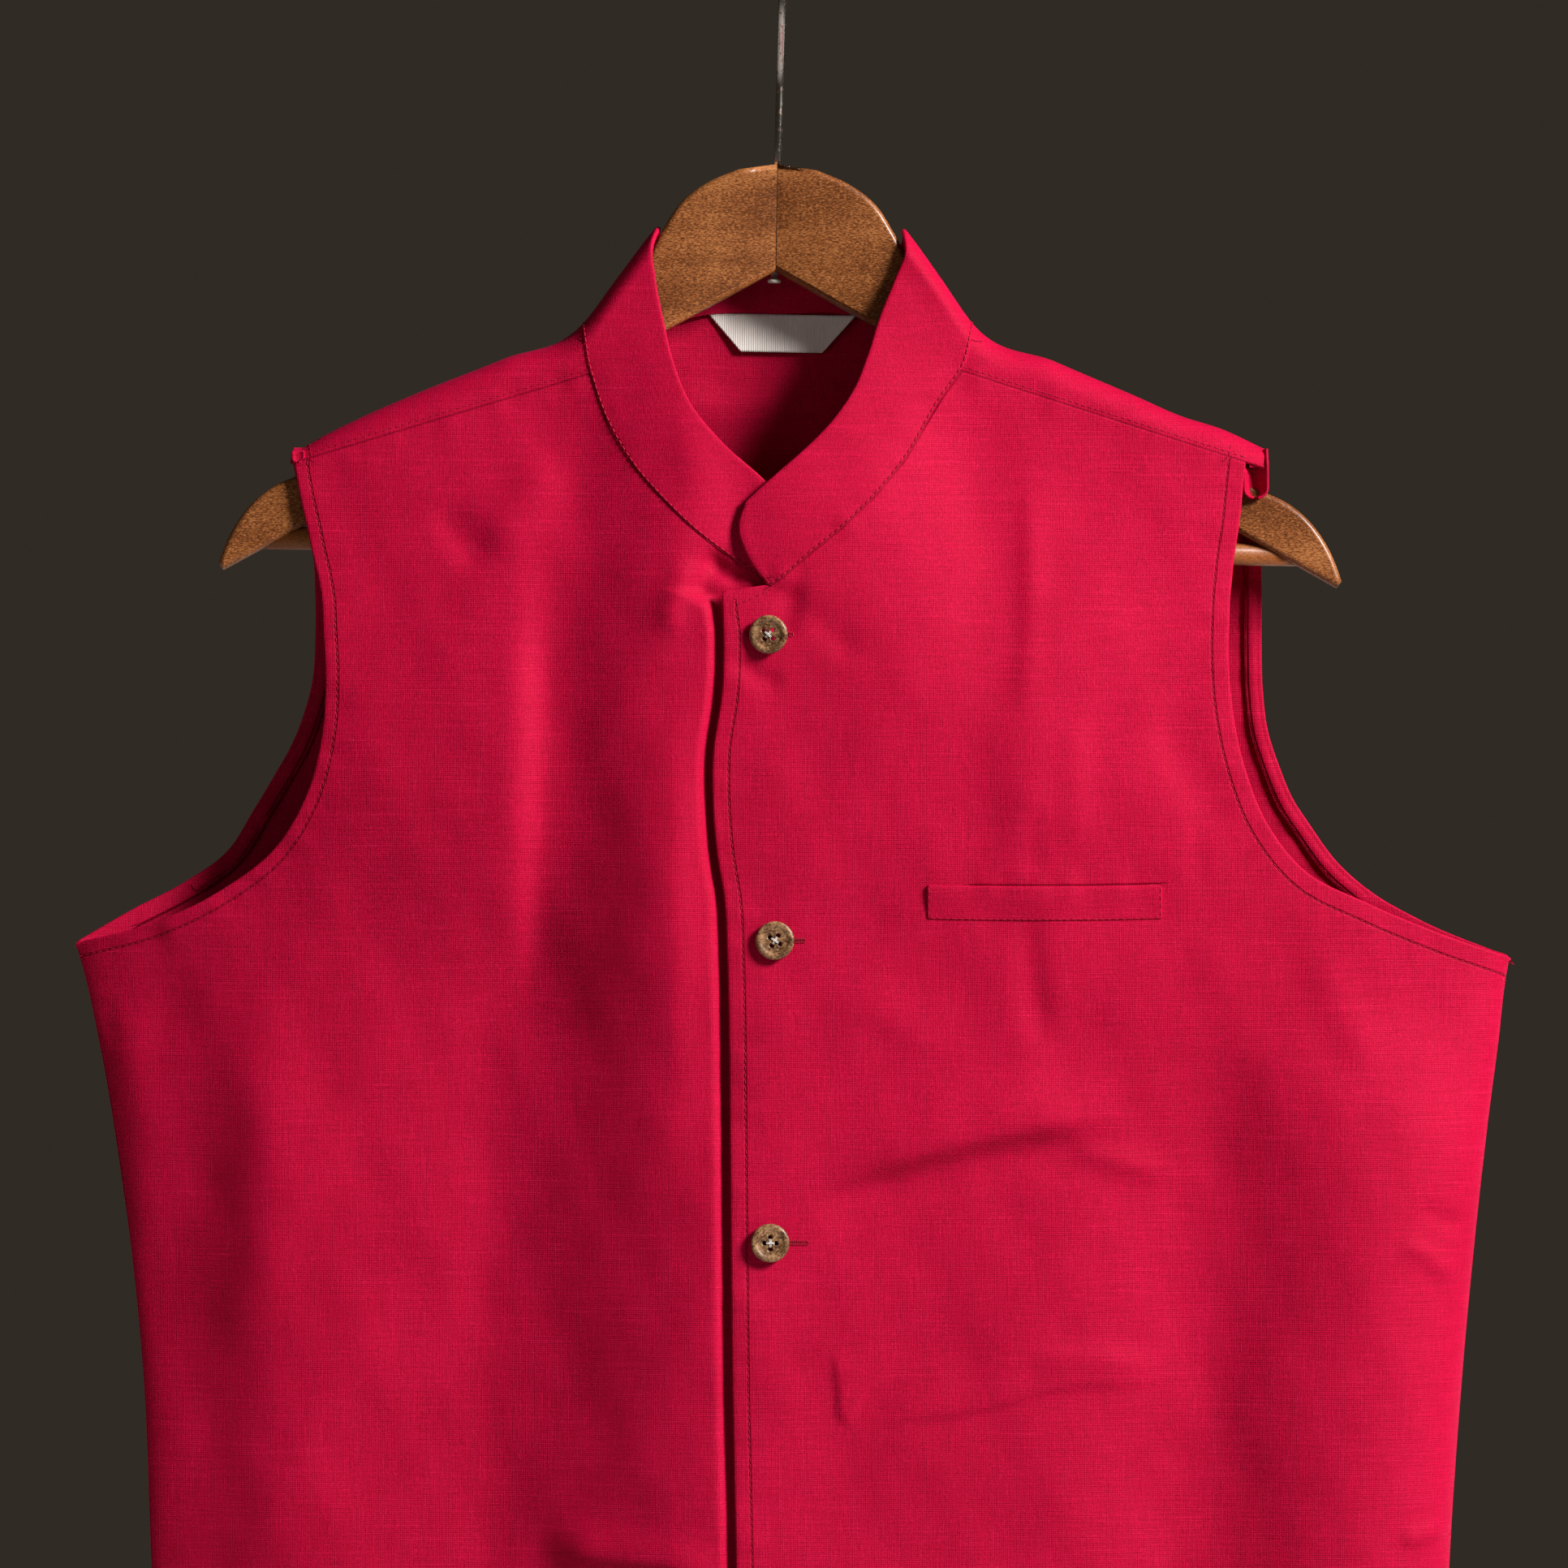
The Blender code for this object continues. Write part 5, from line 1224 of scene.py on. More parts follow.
def label_shell(finish):
    """Makes the bare woven label with its folded slanting sides and one corner that curls."""
    across = np.linspace(-0.5, 0.5, LABEL_COLUMNS)
    down = np.linspace(0.0, 1.0, LABEL_ROWS)
    width = LABEL_TOP_WIDTH + (LABEL_LOW_WIDTH - LABEL_TOP_WIDTH) * down[:, None]
    x = LABEL_X + width * across[None, :]
    z = LABEL_TOP_Z + LABEL_RAISE - LABEL_HEIGHT * down[:, None] - LABEL_LEAN * x
    curled = np.clip((across[None, :] - CURL_FROM) / CURL_WIDTH, 0.0, 1.0) ** 2
    curl = LABEL_CURL * curled * (1.0 - down[:, None])
    sag = LABEL_STAND * (LABEL_TOP_STAND + (1.0 - LABEL_TOP_STAND) * down[:, None])
    face = np.stack([x, depth(1, x, z) - sag - curl, z], axis=-1)
    made = shell("neck_label_cloth", [(face, (0.0, -1.0, 0.0))], finish)
    wall = made.modifiers.new("Wall", "SOLIDIFY")
    wall.thickness = LABEL_THICKNESS
    wall.offset = -1.0
    return made, face


def surface_frame(face, x, z):
    """Gives the outward normal of the smooth surface at points x, z."""
    slope_x, slope_z = surface_slopes(face, x, z)
    return unit(np.stack([-slope_x, np.full_like(x, face), -slope_z], axis=-1))


def capsules(name, middles, ways, normals, length, radius, finish):
    """Makes many short threads, each with its middle, its way and the normal of what it lies on."""
    lengths = np.broadcast_to(np.asarray(length, dtype=float), (len(middles),))
    sides = np.cross(ways, normals)
    verts, faces = [], []
    angles = 2.0 * math.pi * np.arange(STITCH_SIDES) / STITCH_SIDES
    for number in range(len(middles)):
        base = len(verts)
        for step, wide in THREAD_RINGS:
            for angle in angles:
                spot = (
                    middles[number] + ways[number] * lengths[number] * step
                    + radius * wide * (normals[number] * math.cos(angle) + sides[number] * math.sin(angle))
                )
                verts.append(tuple(spot))
        for ring in range(len(THREAD_RINGS) - 1):
            faces.extend(ring_faces(base + ring * STITCH_SIDES, STITCH_SIDES))
    return smooth_object(name, verts, faces, finish)


def read_along(table, run, at):
    """Reads every column of a table at lengths along its run."""
    return np.stack([np.interp(at, run, column) for column in table.T], axis=-1)


def stitch_run(points, normals):
    """Gives middles, ways and normals of stitches along a line of points on a surface."""
    run = run_lengths(points)
    count = max(1, int(run[-1] / STITCH_PITCH))
    at = (np.arange(count) + 0.5) * run[-1] / count
    half = STITCH_LENGTH / 2.0
    way = read_along(points, run, at + half) - read_along(points, run, at - half)
    way = way / np.maximum(np.linalg.norm(way, axis=1), TINY)[:, None]
    normal = unit(read_along(normals, run, at))
    return read_along(points, run, at) + normal * STITCH_RISE, way, normal


def stitch_row(face, line, out=0.0, below=False):
    """Gives the stitches along a line in the x, z plane on the front or the back."""
    x, z = curve_at(line, np.linspace(0.0, 1.0, STITCH_LINE_POINTS)).T
    points = on_front(x, z, out, below) if face < 0 else on_back(x, z, out)
    return stitch_run(points, surface_frame(face, x, z))


def sew(name, rows, finish, length=STITCH_LENGTH, radius=STITCH_RADIUS):
    """Joins rows of stitches into one piece."""
    middles, ways, normals = (np.concatenate(part) for part in zip(*rows))
    return piece(capsules(name, middles, ways, normals, length, radius, finish), "cloth")


def low_line(left, right):
    """Gives the hem's stitch line between two x."""
    return np.array([(left, HEM_Z + HEM_STITCH_UP), (right, HEM_Z + HEM_STITCH_UP)])


def build_stitches(collar_face, welt_face, finish):
    """Sews the visible seams: placket, armholes, shoulders, hem, neck, welt."""
    right_armhole, left_armhole, placket = SEWN_LINES[-1][:3]
    corner = np.array(PLACKET_CORNER_STITCH)
    rows = [stitch_row(-1, np.vstack([placket[:-1], corner[:1]])), stitch_row(-1, corner)]
    rows.append(stitch_row(-1, left_armhole))
    for seam, sign in ((LEFT_SHOULDER_SEAM, -1.0), (RIGHT_SHOULDER_SEAM, 1.0)):
        line = np.array([seam[:2], seam[2:]]) + np.array((0.0, SHOULDER_STITCH_IN))
        rows.append(stitch_row(-1, line))
        end = line[1] + np.array((-sign * FLAP_STITCH_IN, FLAP_STITCH_UP))
        top = end + np.array((sign * FLAP_STITCH_WAY[0], FLAP_STITCH_WAY[1]))
        rows.append(stitch_row(-1, np.array([end, top])))
    hem_z = HEM_Z + HEM_STITCH_UP
    left_x = float(along(LEFT_SIDE, hem_z)) + HEM_STITCH_SIDE
    right_x = float(along(RIGHT_SIDE, hem_z)) - HEM_STITCH_SIDE
    edge_x = float(along(PLACKET_EDGE, hem_z))
    rows.append(stitch_row(-1, low_line(edge_x + HEM_STITCH_EDGE, right_x)))
    rows.append(stitch_row(1, low_line(left_x, right_x)))
    for line in SEWN_LINES[1]:
        rows.append(stitch_row(1, line))
    sew("seam_stitches", rows, finish)
    under = [right_armhole, low_line(left_x, edge_x - HEM_STITCH_UNDER)]
    sew("right_front_stitches", [stitch_row(-1, line, 0.0, True) for line in under], finish)
    on_seam = collar_face[:, 0] * (1.0 - COLLAR_SEWN_AT) + collar_face[:, 1] * COLLAR_SEWN_AT
    across = np.gradient(collar_face, axis=0)[:, 1]
    up = collar_face[:, 2] - collar_face[:, 0]
    normal = unit(np.cross(across, up))
    outwards = np.where(on_seam[:, 1:2] < 0.0, (0.0, -1.0, COLLAR_SEWN_UP), (0.0, 1.0, COLLAR_SEWN_UP))
    normal = normal * np.sign(np.sum(normal * outwards, axis=1))[:, None]
    sew("collar_stitches", [stitch_run(on_seam, normal)], finish, COLLAR_STITCH_LENGTH, COLLAR_STITCH_RADIUS)
    lines = [welt_face[0], welt_face[:, 0], welt_face[:, -1]]
    welt_rows = [stitch_run(line, surface_frame(-1, line[:, 0], line[:, 2])) for line in lines]
    sew("welt_stitches", welt_rows, finish)


def build_buttonholes(finish, dark):
    """Sews the buttonholes, which lie across below the buttons and show to the right of them; each slit is a
    dark thread of painted shade.
    """
    middles, ways, slits, slit_ways = [], [], [], []
    for (x, z, *_), reach in zip(BUTTONS, BUTTONHOLE_REACH):
        count = int(BUTTONHOLE_LENGTH / BUTTONHOLE_PITCH)
        at = x + reach - BUTTONHOLE_LENGTH * np.arange(count + 1) / count
        for number, spot in enumerate(at):
            share = BUTTONHOLE_END_AT if number in (0, count) else 1.0
            for sign in (-1.0, 1.0):
                middles.append((spot, z + sign * BUTTONHOLE_HALF_WIDTH * BUTTONHOLE_STITCH_AT * share))
                ways.append((0.0, 0.0, 1.0))
        slits.append((x + reach - BUTTONHOLE_LENGTH / 2.0, z))
        slit_ways.append((1.0, 0.0, 0.0))
    # The slits are dark threads of painted shade where the cut opening would only be in shadow
    for name, spots, headings, length, radius, made_of in (
        ("buttonhole_stitches", middles, ways, BUTTONHOLE_HALF_WIDTH, BUTTONHOLE_STITCH_RADIUS, finish),
        ("buttonhole_slits_painted_shade", slits, slit_ways, BUTTONHOLE_LENGTH * SLIT_SHARE, SLIT_RADIUS, dark),
    ):
        spots = np.array(spots)
        normals = surface_frame(-1, spots[:, 0], spots[:, 1])
        headings = np.array(headings)
        headings = headings - normals * np.sum(headings * normals, axis=1)[:, None]
        points = on_front(spots[:, 0], spots[:, 1], BUTTONHOLE_RISE)
        piece(capsules(name, points, headings, normals, length, radius, made_of), "cloth")


def build_tongue(name, table, finish):
    """Makes the end of the back's facing that rolls out over the shoulder beside the front's armhole."""
    left_x, right_x, top_z, low_z, away, rim, lean, slant = table
    across = np.linspace(-1.0, 1.0, TONGUE_COLUMNS)
    down = np.linspace(0.0, 1.0, TONGUE_ROWS)
    half = (right_x - left_x) / 2.0
    rounded = np.clip((down - (1.0 - TONGUE_ROUND)) / TONGUE_ROUND, 0.0, TONGUE_BLUNT)
    narrow = np.sqrt(np.clip(1.0 - rounded ** 2, 0.0, 1.0))
    x = (left_x + right_x) / 2.0 + half * across[None, :] * narrow[:, None] + lean * down[:, None]
    start = top_z + slant * across[None, :]
    z = start + (low_z - start) * down[:, None] + 0.0 * x
    ahead_share = smooth_step(down[:, None] / TONGUE_AHEAD)
    held_back = np.where(across[None, :] > 0.0, 1.0, ahead_share)
    rims = rim * np.abs(across[None, :]) ** RIM_POWER * (1.0 - RIM_SINK * down[:, None]) * held_back
    out = away * ahead_share + rims
    face = np.stack([x, -(out + 0.0 * z), z], axis=-1)
    ahead = np.array((0.0, -1.0, 0.0))
    grids = [(face, ahead)]
    for line, inner in ((face[:, 0], face[:, 1]), (face[:, -1], face[:, -2]), (face[-1], face[-2])):
        grids.append(roll_edge(line, inner, ahead, TONGUE_EDGE, math.pi, TONGUE_TUCK))
    return piece(shell(name, grids, finish), "cloth"), face


def put(tree, kind, inputs, **settings):
    """Adds a shader node; inputs maps socket names or numbers to a value or to another node's output."""
    made = tree.nodes.new("ShaderNode" + kind)
    for key, value in settings.items():
        setattr(made, key, value)
    for key, value in inputs.items():
        if isinstance(value, bpy.types.NodeSocket):
            tree.links.new(value, made.inputs[key])
        else:
            made.inputs[key].default_value = value
    return made


def new_finish(name, constants):
    """Makes a Principled material with constants set on the shader's own sockets."""
    made = bpy.data.materials.new(name)
    made.use_nodes = True
    tree = made.node_tree
    shader = tree.nodes["Principled BSDF"]
    for key, value in constants.items():
        shader.inputs[key].default_value = value
    place = put(tree, "TexCoord", {}).outputs["Object"]
    return made, tree, shader, place


def noise(tree, place, scale, detail=3.0, roughness=0.5, turn=(0.0, 0.0, 0.0)):
    """Adds a noise whose grain is scale per metre along each axis, turned where asked."""
    mapped = put(tree, "Mapping", {"Vector": place, "Rotation": turn, "Scale": scale}).outputs["Vector"]
    made = put(tree, "TexNoise", {"Vector": mapped, "Scale": 1.0, "Detail": detail, "Roughness": roughness})
    return made.outputs["Fac"]


def spread(tree, value, low, high, out_low, out_high):
    """Stretches a value from one range to another, held at its ends."""
    made = put(tree, "MapRange", {0: value, 1: low, 2: high, 3: out_low, 4: out_high})
    return made.outputs[0]


def shade_band(tree, value, reach):
    """Turns a noise into a shade between -reach and reach."""
    return spread(tree, value, NOISE_LOW, NOISE_HIGH, -reach, reach)


def add_up(tree, values):
    """Adds shader values up, one after the other."""
    total = values[0]
    for value in values[1:]:
        total = math_node(tree, "ADD", total, value)
    return total


def set_bump(tree, shader, height, strength, distance=FINE_BUMP):
    """Gives a finish a fine relief."""
    bump = put(tree, "Bump", {"Height": height, "Strength": strength, "Distance": distance})
    tree.links.new(bump.outputs["Normal"], shader.inputs["Normal"])


def math_node(tree, operation, first, second):
    """Adds a sum, product or other sum of two values."""
    return put(tree, "Math", {0: first, 1: second}, operation=operation).outputs[0]


def ramp(tree, value, stops):
    """Turns a value into a colour by stops of place and colour."""
    made = put(tree, "ValToRGB", {"Fac": value})
    bands = made.color_ramp.elements
    for number, (at, colour) in enumerate(stops):
        stop = bands[number] if number < 2 else bands.new(at)
        stop.position = at
        stop.color = (*colour, 1.0)
    return made.outputs["Color"]


def cloth_finish(name, turn):
    """Makes the slubbed crimson cloth, its threads turned by an angle in the plane of the jacket."""
    made, tree, shader, place = new_finish(name, {
        "Roughness": 0.6, "Specular IOR Level": 0.06, "Sheen Weight": 0.08, "Sheen Roughness": 0.4,
        "Sheen Tint": (1.0, 0.05, 0.25, 1.0),
    })
    tilt = (0.0, turn, 0.0)
    across = noise(tree, place, CLOTH_ACROSS, 3.0, 0.6, tilt)
    along_z = noise(tree, place, CLOTH_ALONG, 2.0, 0.5, tilt)
    grain = noise(tree, place, CLOTH_GRAIN, 2.0)
    patches = noise(tree, place, CLOTH_PATCHES, 2.0)
    thick_across = noise(tree, place, SLUB_ACROSS, 1.0, 0.5, tilt)
    thick_along = noise(tree, place, SLUB_ALONG, 1.0, 0.5, tilt)
    turned = put(tree, "Mapping", {"Vector": place, "Rotation": tilt}).outputs["Vector"]
    threads = []
    for scale, direction in ((WEAVE_SCALE, "Z"), (WEAVE_SCALE * WARP_SHARE, "X")):
        bands = {"Vector": turned, "Scale": scale, "Distortion": WEAVE_BEND, "Detail": 1.0}
        threads.append(put(tree, "TexWave", bands, bands_direction=direction).outputs["Fac"])
    weave = math_node(tree, "MULTIPLY", *threads)
    shade = add_up(tree, [
        shade_band(tree, across, SHADE_THREADS), shade_band(tree, along_z, SHADE_THREADS),
        shade_band(tree, grain, SHADE_GRAIN), shade_band(tree, patches, SHADE_PATCHES),
        spread(tree, thick_across, *SLUB_ACROSS_SHADE), spread(tree, thick_along, *SLUB_ALONG_SHADE),
        SHADE_MIDDLE, spread(tree, weave, 0.0, 1.0, *SHADE_WEAVE),
    ])
    colour = ramp(tree, shade, CLOTH_STOPS)
    signed = put(tree, "Attribute", {}, attribute_name="sewn").outputs["Fac"]
    reach = put(tree, "Attribute", {}, attribute_name="sewn_reach").outputs["Fac"]
    away = put(tree, "Math", {0: signed}, operation="ABSOLUTE").outputs[0]
    groove = put(tree, "MapRange", {0: away, 1: 0.0, 2: GROOVE_REACH, 3: 0.0, 4: 1.0},
                 interpolation_type="SMOOTHSTEP").outputs[0]
    groove = math_node(tree, "MAXIMUM", groove, spread(tree, reach, *GROOVE_OFF, 0.0, 1.0))
    # Painted shade: the cloth's colour is darkened in the grooves of the sewn lines, where shade falls
    painted_groove_shade = spread(tree, groove, 0.0, 1.0, GROOVE_PAINTED_SHADE, 1.0)
    mixed = put(tree, "Mix", {"Factor": 1.0}, data_type="RGBA", blend_type="MULTIPLY")
    tree.links.new(colour, mixed.inputs[6])
    tree.links.new(painted_groove_shade, mixed.inputs[7])
    tree.links.new(mixed.outputs[2], shader.inputs["Base Color"])
    height = add_up(tree, [
        math_node(tree, "MULTIPLY", weave, WEAVE_HEIGHT), across,
        math_node(tree, "MULTIPLY", along_z, ALONG_HEIGHT), math_node(tree, "MULTIPLY", grain, GRAIN_HEIGHT),
    ])
    fine = put(tree, "Bump", {"Height": height, "Strength": 0.6, "Distance": CLOTH_BUMP})
    deep = put(tree, "Bump", {"Height": groove, "Strength": 1.0, "Distance": GROOVE_DEPTH,
                              "Normal": fine.outputs["Normal"]})
    tree.links.new(deep.outputs["Normal"], shader.inputs["Normal"])
    return made


def thread_finish(name, colour, roughness):
    """Makes plain sewing thread with a slight twist."""
    made, tree, shader, place = new_finish(name, {"Roughness": roughness, "Specular IOR Level": 0.2})
    flecks = noise(tree, place, TWIST, 2.0)
    dark = tuple(0.7 * part for part in colour)
    tree.links.new(ramp(tree, flecks, ((0.35, dark), (0.65, colour))), shader.inputs["Base Color"])
    return made


def wood_finish(name, turn, stops, roughness, coat):
    """Makes lacquered wood with fine short flecks along its grain, which lies turned from the x axis."""
    made, tree, shader, place = new_finish(name, {
        "Roughness": roughness, "Coat Weight": coat, "Coat Roughness": 0.16, "Specular IOR Level": 0.3,
    })
    tilt = (0.0, turn, 0.0)
    flecks = noise(tree, place, WOOD_FLECKS, 2.0, 0.6, tilt)
    bands = noise(tree, place, WOOD_BANDS, 4.0, 0.6, tilt)
    cloud = noise(tree, place, WOOD_CLOUD, 2.0)
    value = add_up(tree, [
        math_node(tree, "MULTIPLY", flecks, WOOD_FLECK_SHARE),
        math_node(tree, "MULTIPLY", bands, WOOD_BAND_SHARE),
        shade_band(tree, cloud, WOOD_CLOUD_SHADE),
    ])
    tree.links.new(ramp(tree, value, stops), shader.inputs["Base Color"])
    set_bump(tree, shader, flecks, 0.25)
    return made


def button_finish():
    """Makes the speckled coconut shell of the buttons."""
    made, tree, shader, place = new_finish("button_shell", {
        "Roughness": 0.42, "Coat Weight": 0.15, "Coat Roughness": 0.25,
    })
    specks = noise(tree, place, BUTTON_SPECKS, 3.0, 0.65)
    cloud = noise(tree, place, BUTTON_CLOUD, 2.0)
    value = math_node(tree, "ADD", specks, shade_band(tree, cloud, BUTTON_CLOUD_SHADE))
    tree.links.new(ramp(tree, value, BUTTON_STOPS), shader.inputs["Base Color"])
    set_bump(tree, shader, specks, 0.3)
    return made


def hook_finish():
    """Makes bright wire with specks of rust."""
    made, tree, shader, place = new_finish("hook_steel", {"Metallic": 1.0})
    specks = noise(tree, place, RUST_SPECKS, 4.0, 0.7)
    rust = spread(tree, specks, *RUST_RANGE, 0.0, 1.0)
    tree.links.new(ramp(tree, rust, HOOK_STOPS), shader.inputs["Base Color"])
    tree.links.new(spread(tree, rust, 0.0, 1.0, 0.22, 0.7), shader.inputs["Roughness"])
    return made


def label_finish():
    """Makes the cream woven label with fine ribs down it."""
    made, tree, shader, place = new_finish("label_weave", {"Roughness": 0.8, "Sheen Weight": 0.15})
    threads = noise(tree, place, LABEL_THREADS, 2.0)
    tree.links.new(ramp(tree, threads, LABEL_STOPS), shader.inputs["Base Color"])
    ribs = put(tree, "TexWave", {"Vector": place, "Scale": LABEL_RIB_SCALE}, bands_direction="X")
    set_bump(tree, shader, ribs.outputs["Fac"], 0.5)
    return made


def button_placing(row):
    """Gives the placing of a button on the upper front, turned and tilted as it hangs."""
    x, z, turn, tilt_x, tilt_z = row
    half = BUTTON_THICKNESS / 2.0
    slope_x, slope_z = (float(slope) for slope in surface_slopes(-1, x, z))
    outwards = Vector((-slope_x, -1.0, -slope_z)).normalized()
    lean = math.hypot(math.sin(math.radians(tilt_x)), math.sin(math.radians(tilt_z)))
    away = half + BUTTON_LIFT + (BUTTON_RADIUS - BUTTON_RIM) * lean
    centre = Vector((x, -float(base_depth(-1, x, z)), z)) + outwards * away
    facing = outwards.to_track_quat("Z", "X").to_matrix().to_4x4()
    lay = Matrix.Rotation(math.radians(tilt_z), 4, "Z") @ Matrix.Rotation(math.radians(tilt_x), 4, "X")
    return Matrix.Translation(centre) @ lay @ facing @ Matrix.Rotation(math.radians(turn), 4, "Z")


def lathe(name, profile, steps, finish):
    """Turns a profile of radius and height round the z axis."""
    verts, faces, rings = [], [], []
    for radius, height in profile:
        if radius == 0.0:
            rings.append([len(verts)])
            verts.append((0.0, 0.0, height))
            continue
        rings.append(list(range(len(verts), len(verts) + steps)))
        for step in range(steps):
            angle = 2.0 * math.pi * step / steps
            verts.append((radius * math.cos(angle), radius * math.sin(angle), height))
    for low, high in zip(rings[:-1], rings[1:]):
        for step in range(steps):
            after = (step + 1) % steps
            near = [low[step % len(low)], low[after % len(low)]]
            far = [high[after % len(high)], high[step % len(high)]]
            faces.append(tuple(dict.fromkeys(near + far)))
    return smooth_object(name, verts, faces, finish)


def build_button(number, row, finish, thread):
    """Makes a four-hole button with a rounded rim and a dished middle, and its crossed thread."""
    profile = []
    for radius_mm, height_mm in BUTTON_PROFILE:
        profile.append((radius_mm / 1000.0, height_mm / 1000.0))
    made = lathe(f"button_{number}_shell", profile, BUTTON_STEPS, finish)
    placing = button_placing(row)
    made.matrix_world = placing
    pitch = HOLE_PITCH / 2.0
    for sx in (-1, 1):
        for sy in (-1, 1):
            hole = bpy.data.meshes.new(f"button_{number}_hole")
            built = bmesh.new()
            bmesh.ops.create_cone(
                built, cap_ends=True, segments=HOLE_SIDES, radius1=HOLE_RADIUS, radius2=HOLE_RADIUS,
                depth=CUTTER_SHARE * BUTTON_THICKNESS,
                matrix=Matrix.Translation((sx * pitch, sy * pitch, 0.0)),
            )
            built.to_mesh(hole)
            built.free()
            cutter = new_object(f"button_{number}_hole_{sx + 1}{sy + 1}", hole)
            cutter.matrix_world = placing
            cutter.hide_render = True
            cutter.hide_viewport = True
            cut = made.modifiers.new("Hole", "BOOLEAN")
            cut.object = cutter
            cut.operation = "DIFFERENCE"
    piece(made, "buttons", f"button_{number}")
    middles, ways = [], []
    lift = BUTTON_THICKNESS / 2.0 - THREAD_SINK
    for sign in (-1.0, 1.0):
        for strand in (-1.0, 1.0):
            way = Vector((1.0, sign, 0.0)).normalized()
            side = Vector((-sign, 1.0, 0.0)).normalized() * strand * THREAD_RADIUS * THREAD_SPACING
            middles.append(np.array(placing @ (side + Vector((0.0, 0.0, lift + THREAD_CROSSING * sign)))))
            ways.append(np.array(placing.to_3x3() @ way))
    normals = [np.array(placing.to_3x3() @ Vector((0.0, 0.0, 1.0)))] * len(ways)
    length = HOLE_PITCH * THREAD_SHARE
    sewn = capsules(f"button_{number}_thread", middles, ways, normals, length, THREAD_RADIUS, thread)
    piece(sewn, "buttons")


def hanger_frame():
    """Gives the placing of the hanger's own frame: x along the arms, y down, z towards the back."""
    lie = Matrix.Rotation(math.radians(-90.0), 4, "X")
    return Matrix.Translation((WOOD_X, 0.0, WOOD_Z)) @ Matrix.Rotation(WOOD_TILT, 4, "Y") @ lie


def build_arm(name, node, side, reach, finish):
    """Makes half of the wooden hanger: a smooth outline, its edges well rounded."""
    top = np.array([(out * reach, down) for out, down in ARM_TOP])
    upper = curve_at(top, np.linspace(0.0, 1.0, ARM_OUTLINE_POINTS))
    tip = (ARM_TIP[0] * reach, ARM_TIP[1])
    joint = ((JOINT_HALF_GAP, 0.0), (JOINT_HALF_GAP, ARM_MIDDLE_HEIGHT))
    outline = [joint[0]] + [tuple(spot) for spot in upper] + [tip, joint[1]]
    built = bmesh.new()
    ring = [built.verts.new((side * out, down, -WOOD_HALF_THICKNESS)) for out, down in outline]
    front = built.faces.new(ring)
    grown = bmesh.ops.extrude_face_region(built, geom=[front])
    raised = [part for part in grown["geom"] if isinstance(part, bmesh.types.BMVert)]
    bmesh.ops.translate(built, verts=raised, vec=(0.0, 0.0, 2.0 * WOOD_HALF_THICKNESS))
    bmesh.ops.recalc_face_normals(built, faces=built.faces)
    rounded = built.edges.layers.float.new("bevel_weight_edge")
    for edge in built.edges:
        low, high = (vert.co for vert in edge.verts)
        at_joint = abs(low.x) < 2.0 * JOINT_HALF_GAP and abs(high.x) < 2.0 * JOINT_HALF_GAP
        level = abs(low.z - high.z) < WELD
        edge[rounded] = 1.0 if level and not at_joint else 0.0
    mesh = bpy.data.meshes.new(name)
    built.to_mesh(mesh)
    built.free()
    mesh.shade_smooth()
    made = new_object(name, mesh, finish)
    made.matrix_world = hanger_frame()
    rounding = made.modifiers.new("Rounding", "BEVEL")
    rounding.width = WOOD_ROUNDING
    rounding.segments = ROUNDING_STEPS
    rounding.limit_method = "WEIGHT"
    level = made.modifiers.new("Level faces", "WEIGHTED_NORMAL")
    level.keep_sharp = True
    return piece(made, "hanger_wood", node)


def tube(name, points, radius, sides, finish):
    """Makes a closed round wire along points."""
    points = np.array(points)
    tangents = unit(np.gradient(points, axis=0))
    side_way = np.array((1.0, 0.0, 0.0))
    verts, faces = [], []
    for number, (spot, tangent) in enumerate(zip(points, tangents)):
        across = side_way - tangent * np.dot(side_way, tangent)
        across = across / np.linalg.norm(across)
        other = np.cross(tangent, across)
        for step in range(sides):
            angle = 2.0 * math.pi * step / sides
            verts.append(tuple(spot + radius * (across * math.cos(angle) + other * math.sin(angle))))
        if number:
            faces.extend(ring_faces((number - 1) * sides, sides))
    faces.append(tuple(range(sides))[::-1])
    faces.append(tuple(range(len(verts) - sides, len(verts))))
    return smooth_object(name, verts, faces, finish)


def hook_path():
    """Gives the wire's middle line from the shank's low end, up and round to the tip."""
    middle_radius = HOOK_INSIDE_RADIUS + WIRE_RADIUS
    loop = []
    for step in range(HOOK_STEPS + 1):
        angle = HOOK_START_ANGLE + (HOOK_TIP_ANGLE - HOOK_START_ANGLE) * step / HOOK_STEPS
        loop.append((middle_radius * math.cos(angle), middle_radius * math.sin(angle) - HOOK_INSIDE_RADIUS))
    start = np.array((0.0, HOOK_NECK_Z))
    end = np.array(loop[0])
    before = np.array((0.0, HOOK_NECK_Z + NECK_HANDLE))
    heading = np.array(loop[1]) - end
    after = end - heading / np.linalg.norm(heading) * NECK_HANDLE
    bend = []
    for t in np.linspace(0.0, 1.0, NECK_STEPS + 1)[:-1]:
        low = start * (1 - t) ** 3 + before * 3 * t * (1 - t) ** 2
        high = after * 3 * t * t * (1 - t) + end * t**3
        bend.append(tuple(low + high))
    path = [(0.0, SHANK_END_Z), (0.0, HOOK_NECK_Z - SHANK_STRAIGHT)] + bend + loop
    return [(z * WOOD_X / WOOD_Z, y, z) for y, z in path]


